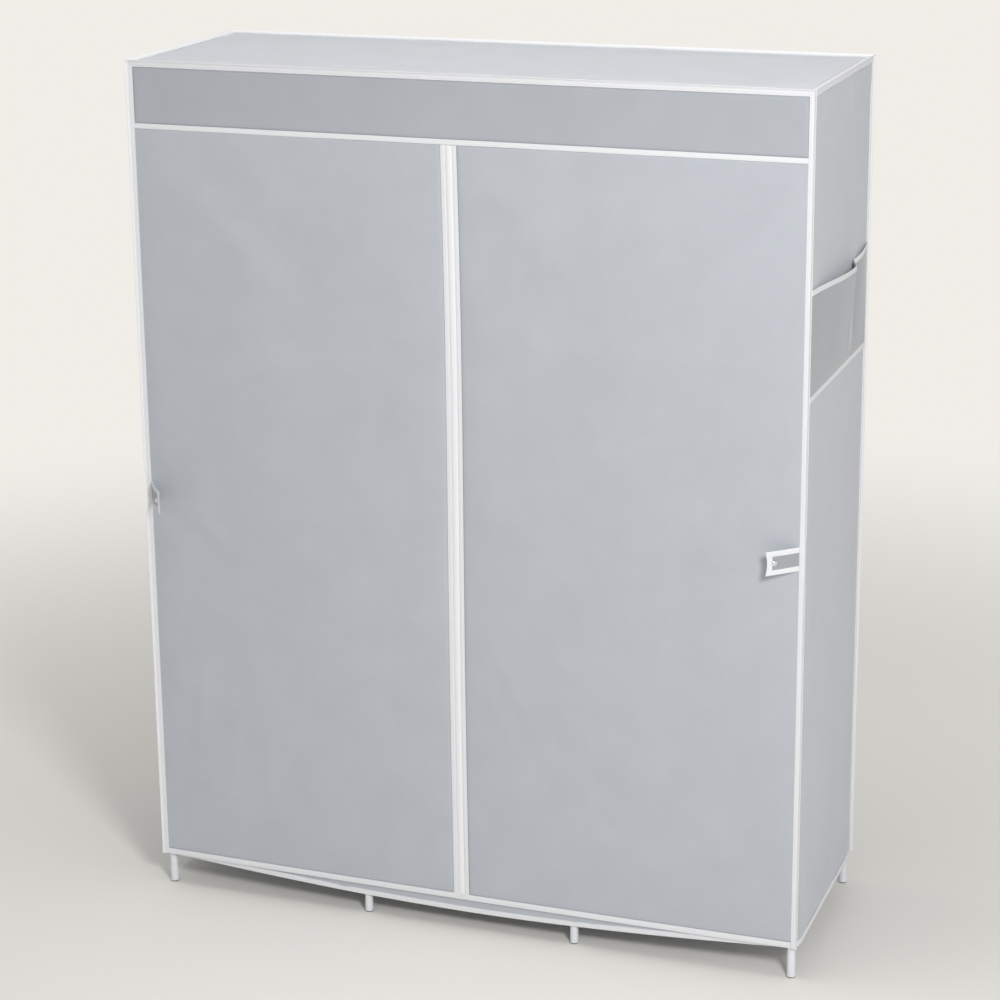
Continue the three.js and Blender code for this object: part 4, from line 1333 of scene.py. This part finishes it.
flap_ribbon, shader = grained("white_flap_ribbon", (0.88, 0.88, 0.89), 0.5, scale=1500,
                              strength=0.15, depth=0.08 * mm,
                              wander=((0.83, 0.835, 0.85), (0.87, 0.875, 0.89)), socket="Base Color")
shader.inputs["Sheen Weight"].default_value = 0.15
coil_nylon, shader = grained("white_coil_nylon", (0.80, 0.82, 0.85), 0.35, scale=2200,
                             strength=0.15, depth=0.08 * mm, wander=(0.28, 0.42))
shader.inputs["Subsurface Weight"].default_value = 0.05
zip_paint, shader = grained("zip_slider_enamel", (0.78, 0.80, 0.83), 0.32, scale=900,
                            strength=0.12, depth=0.1 * mm, wander=(0.26, 0.40))

coil_pitch = 1.6 * mm
coil_width = 2.6 * mm
coil_rise = 1.2 * mm
coil_root = 0.3 * mm
flap_reach = 7.4 * mm
flap_seam = 6.4 * mm


def zip_path(size):
    height = steps(door_hem(zip_offset) + door_hem_tape + 0.3 * mm, door_top, size)
    return np.stack([zip_line(height), np.full_like(height, door_depth), height], axis=1)


def coil_shape(path, way):
    """The coil's turns: a rod that swells at every turn, lying on the tape's inner face."""
    turn = path[:, 2] / coil_pitch * 2 * math.pi
    swell = 0.80 + 0.20 * np.cos(turn)
    middle = zip_split + coil_width / 2
    ring = [(middle + coil_width / 2 * math.cos(k), coil_rise * math.sin(k))
            for k in np.linspace(0, math.pi, 7)]
    ring = np.array(ring + [(middle + end * coil_width / 2, -coil_root) for end in (-1, 1)])
    aside = path[:, None] + np.zeros((1, len(ring), 3))
    aside[..., 0] += way * (middle + (ring[:, 0] - middle) * swell[:, None])
    rise = np.where(ring[:, 1] > 0, ring[:, 1] * swell[:, None], ring[:, 1])
    aside[..., 1] += cloth_thickness / 2 + rise
    count = len(ring)
    number = np.arange(len(path) * count).reshape(len(path), count)[:, ::way]
    after = np.roll(number, -1, axis=1)
    sides = np.stack([number[:-1], number[1:], after[1:], after[:-1]], axis=-1).reshape(-1, 4)
    return aside.reshape(-1, 3), sides.tolist() + [number[0].tolist(), number[-1, ::-1].tolist()]


# The outer edge of the zip's tape is sewn into the fold of the door's edge tape.
flat_tape = [(0, 0.3), (0.15, 0.42), (6.7, 0.42), (7.0, 0.3), (7.0, -0.3), (6.7, -0.4),
             (0.15, -0.4), (0, -0.3)]
flat_tape = [(a * mm, b * mm) for a, b in flat_tape]
# The flap is a fold of tape: sewn at its left edge, it covers both halves like a flattened tube.
flap_width = (flap_seam + flap_reach) / mm
flap_outline = [(0, 0.42), (0.5, 0.5), (0.9, 1.0), (2.0, 1.8), (flap_width * 0.5, 2.7),
                (flap_width - 1.8, 2.6), (flap_width - 0.6, 2.3), (flap_width, 1.95),
                (flap_width - 0.3, 1.65), (flap_width - 1.2, 1.5)]
flap_outline = [(a * mm, b * mm) for a, b in flap_outline]
for way, side in ((-1, "left"), (1, "right")):
    outward = np.array((way, 0, 0))
    path = zip_path(6 * mm)
    shape, plan = tape_run(path + outward * zip_split, outward, to_front, flat_tape, pucker=0)
    hung_on_seam(make_piece(f"zip_{side}_tape", shape, zip_weave, None,
                            [f"zip_{side}"], sharp=50, plan=plan))
    if way < 0:
        shape, plan = tape_run(path + outward * flap_seam, -outward, to_front, flap_outline, seed=93)
        hung_on_seam(make_piece("zip_flap", shape, flap_ribbon, None, ["zip_left"],
                                sharp=50, plan=plan))
    hung_on_seam(make_piece(f"zip_{side}_coil", coil_shape(zip_path(coil_pitch / 4), way), coil_nylon,
                            None, [f"zip_{side}"], sharp=80))

# The slider and its pull are cast, painted white like the tape, and keep the shapes of their solids.
for node in ("zip_slider", "zip_pull"):
    for material_slot in bpy.data.objects[node].material_slots:
        material_slot.material = zip_paint


# The side pocket is a strip of the cloth across the whole depth of the right side, sewn in at its two
# ends and along its bottom. Its mouth is bound with tape, stands open, sags, and has one deep fold
# near the back.
# The grey cloth painted darker, as painted shade on the pocket and on the tab straps.
painted_shade_cloth = nonwoven("nonwoven_painted_shade", (0.315, 0.331, 0.355), (0.360, 0.377, 0.402))
pocket_low, pocket_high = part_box("pocket_bottom_binding")
pocket_bottom = pocket_low.z
pocket_face = pocket_low.x
pocket_mouth = 1324 * mm
pocket_bulge = 15 * mm
fold_start, fold_end = 0.64, 0.75
fold_rise = 0.23
mouth_sag = 13 * mm
back_bulge = 0.28
slack_height = 1.6 * mm
pocket_cut_height = 0.19
pocket_front, pocket_back = pocket_low.y, pocket_high.y


def eased_between(value, start, end):
    share = np.clip((value - start) / (end - start), 0, 1)
    return share * share * (3 - 2 * share)


def mouth_height(u):
    """The mouth sags to its fold, rises in it, and runs on up to the back seam."""
    sag = eased_between(u, 0, fold_start) - fold_rise * eased_between(u, fold_start, fold_end)
    return pocket_mouth - mouth_sag * sag * (1 - eased_between(u, fold_end, 1))


def pocket_stand(u, v):
    """How far the pocket stands off the side: widest in front of the fold, closed in the fold."""
    stand = np.sin(math.pi / 2 * np.clip(u / fold_start, 0, 1))
    stand = stand * (1 - eased_between(u, fold_start, fold_end))
    stand = stand + back_bulge * np.sin(math.pi * np.clip((u - fold_end) / (1 - fold_end), 0, 1))
    folds = np.sin(2 * math.pi * (2.6 * u + 0.15)) * np.sin(math.pi * u)
    folds = folds * np.clip(1.4 * (1 - v), 0, 1)
    return np.clip(v, 0, 1) ** 0.7 * (pocket_bulge * stand + slack_height * folds)


def pocket_place(a, b):
    u = a / (pocket_back - pocket_front)
    low = pocket_bottom + tape_width - tucked
    high = mouth_height(u) - tape_width + tucked
    z = low + (high - low) * b
    v = (z - pocket_bottom - tape_width) / (mouth_height(u) - pocket_bottom - tape_width)
    soft = 0.4 * mm * crumple(a, b, 0.12, 101) * np.clip(v, 0, 1) * np.sin(math.pi * u)
    x = pocket_face + cloth_thickness / 2 + pocket_stand(u, np.maximum(v, 0)) + soft
    return x, pocket_front + a, z


pocket_depth = pocket_back - pocket_front
across = steps(0, pocket_depth, 2.5 * mm)
shape, plan = cloth_shape(across, steps(0, 1, 0.025), pocket_place)
pocket = make_piece("side_pocket_cloth", shape, painted_shade_cloth, "frame_and_cover",
                    ["side_pocket"], sharp=60, plan=plan * np.array([1, pocket_cut_height]))
share = across / pocket_depth
rim = np.stack([pocket_face + tape_thickness / 2 + pocket_stand(share, np.ones_like(share)),
                pocket_front + across, mouth_height(share)], axis=1)
below = rim.copy()
below_share = 1 - tape_width / (mouth_height(share) - pocket_bottom - tape_width)
below[:, 0] = pocket_face + tape_thickness / 2 + pocket_stand(share, below_share)
below[:, 2] -= tape_width
inward = (below - rim) / np.linalg.norm(below - rim, axis=1)[:, None]
out = np.cross(inward, np.gradient(rim, axis=0))
out /= np.linalg.norm(out, axis=1)[:, None]
out *= np.sign(out[:, :1])
mouth_tape = tape_piece("pocket_mouth_tape", "frame_and_cover", ["pocket_mouth_binding"],
                        [tape_run(rim, inward, out, fold_profile(tape_width), seed=105)])
mouth_thread = thread_piece("pocket_mouth_stitches", "frame_and_cover", ["pocket_mouth_binding"],
                            [sewn_row(rim, inward, out, tape_width)])
floor_path = line((pocket_face + tape_thickness / 2, pocket_front, pocket_bottom),
                  (pocket_face + tape_thickness / 2, pocket_back, pocket_bottom))
seam_tape = tape_piece("pocket_bottom_tape", "frame_and_cover", ["pocket_bottom_binding"],
                       [tape_run(floor_path, up, to_right, fold_profile(tape_width), seed=107)])
seam_thread = thread_piece("pocket_bottom_stitches", "frame_and_cover", ["pocket_bottom_binding"], [
    stitches(floor_path + up * inset + to_right * row_lift, to_right, 1 * mm)
    for inset in (stitch_inset, tape_width - stitch_inset)])


# A tab is a short strap of the cloth bound with tape on three sides and sewn to its door at the root.
# Rolled up, the door is held by it with the snap near its free end. It stands off the door, curls
# back and droops a little.
snap_chrome, shader = grained("snap_chrome", (0.84, 0.84, 0.85), 0.2, scale=700, strength=0.08,
                              depth=0.05 * mm, wander=(0.14, 0.26))
shader.inputs["Metallic"].default_value = 1

tab_length = 64 * mm
tab_height = 45 * mm
tab_notch = 3 * mm
root_gap = 3.5 * mm
root_tuck = 1.2 * mm
tab_lift = 0.2 * mm
tab_cell = 2.5 * mm
tab_crumple = 0.25 * mm
tab_curl = math.radians(16)
snap_share = 0.78
tab_roots = {-1: (-645.5 * mm, math.radians(-59)), 1: (645.5 * mm, math.radians(225))}


def tab_point(way, u, h):
    """A point on the middle of a tab: u from its root to its tip and h from its lower edge up."""
    u, h = np.broadcast_arrays(np.asarray(u, float), np.asarray(h, float))
    share = u * (1 - tab_notch * (1 - (2 * h - 1) ** 2) / tab_length)
    run = tab_length * np.sin(tab_curl * share) / tab_curl
    curl = -way * tab_length * (1 - np.cos(tab_curl * share)) / tab_curl
    rise = (h - 0.5) * tab_height - tab_droop * share * share
    root, turn = tab_roots[way]
    x = root + run * math.cos(turn) - curl * math.sin(turn)
    y = front - tab_lift + run * math.sin(turn) + curl * math.cos(turn)
    return np.stack([x, y, tab_centre + rise], axis=-1)


def unit(vectors):
    return vectors / np.linalg.norm(vectors, axis=-1, keepdims=True)


def tab_frame(way, u, h):
    """Directions at a point of a tab: along it, up it, and out of its outer face."""
    step = 0.005
    along = unit(tab_point(way, np.add(u, step), h) - tab_point(way, np.subtract(u, step), h))
    rise = unit(tab_point(way, u, np.add(h, step)) - tab_point(way, u, np.subtract(h, step)))
    return along, rise, unit(np.cross(rise, along)) * way


for way, side in ((-1, "left"), (1, "right")):
    body = f"tab_{side}"

    def tab_place(a, b):
        spot = tab_point(way, a / tab_length, b / tab_height)
        along, rise, out = tab_frame(way, a / tab_length, b / tab_height)
        spot = spot + out * (tab_crumple * crumple(a, b, 0.02, 111 + way, 2))[..., None]
        return spot[..., 0], spot[..., 1], spot[..., 2]

    inset = tape_width - tucked
    # The strap's cloth is painted darker than the door's, as painted shade.
    strap = cloth_piece(f"tab_{side}_strap", body, [f"tab_{side}"],
                        steps(-root_tuck, tab_length - inset, tab_cell),
                        steps(inset, tab_height - inset, tab_cell), tab_place, finish=painted_shade_cloth)
    reach, rise_up = steps(-0.02, 1, 0.04), steps(0, 1, 0.04)
    runs, rows = [], []
    for u, h, turn in ((reach, 0 * reach, 0), (1 + 0 * rise_up, rise_up, 1),
                       (reach[::-1], 1 + 0 * reach, 2)):
        along, rise, out = tab_frame(way, u, h)
        inner = (rise, -along, -rise)[turn]
        path = tab_point(way, u, h)
        ends = ((0, 1), (1, 1), (1, 0))[turn]
        runs.append(tape_run(path, inner, out, fold_profile(tape_width), ends, 115 + turn,
                             pucker=0.05 * mm))
        row = path + inner * row_inset + out * row_lift
        begin, stop = (row_inset if cut else root_gap for cut in ends)
        length = np.concatenate([[0], np.cumsum(np.linalg.norm(np.diff(row, axis=0), axis=1))])
        inside = (length >= begin) & (length <= length[-1] - stop)
        rows.append(stitches(row[inside], out[inside], 0.5 * mm))
    tape = tape_piece(f"tab_{side}_tape", body, [f"tab_{side}"], runs)
    thread = thread_piece(f"tab_{side}_stitches", body, [f"tab_{side}"], rows)

    # The snap: a domed cap with a rolled rim outside, and the eyelet's flange inside.
    along, rise, out = tab_frame(way, snap_share, 0.5)
    cap = [(0, 3.4), (1.5, 3.3), (2.6, 2.95), (3.3, 2.3), (3.55, 1.6), (3.6, 1.05), (4.1, 1.0),
           (4.4, 1.45), (4.8, 1.65), (5.2, 1.5), (5.4, 1.15), (5.2, 0.88), (1.9, 0.88), (1.9, -0.62),
           (4.3, -0.62), (4.72, -0.85), (4.75, -1.3), (4.4, -1.7), (3.0, -1.9), (2.4, -1.5),
           (0, -1.45)]
    cap = [(radius * mm, height * mm) for radius, height in cap]
    frame_of_snap = np.stack([along, np.cross(out, along), out], axis=-1)
    stud = moved(turned(cap[::-1], sides=48), tab_point(way, snap_share, 0.5), frame_of_snap)
    make_piece(f"snap_{side}_stud", stud, snap_chrome, body, [f"snap_{side}"], sharp=30)
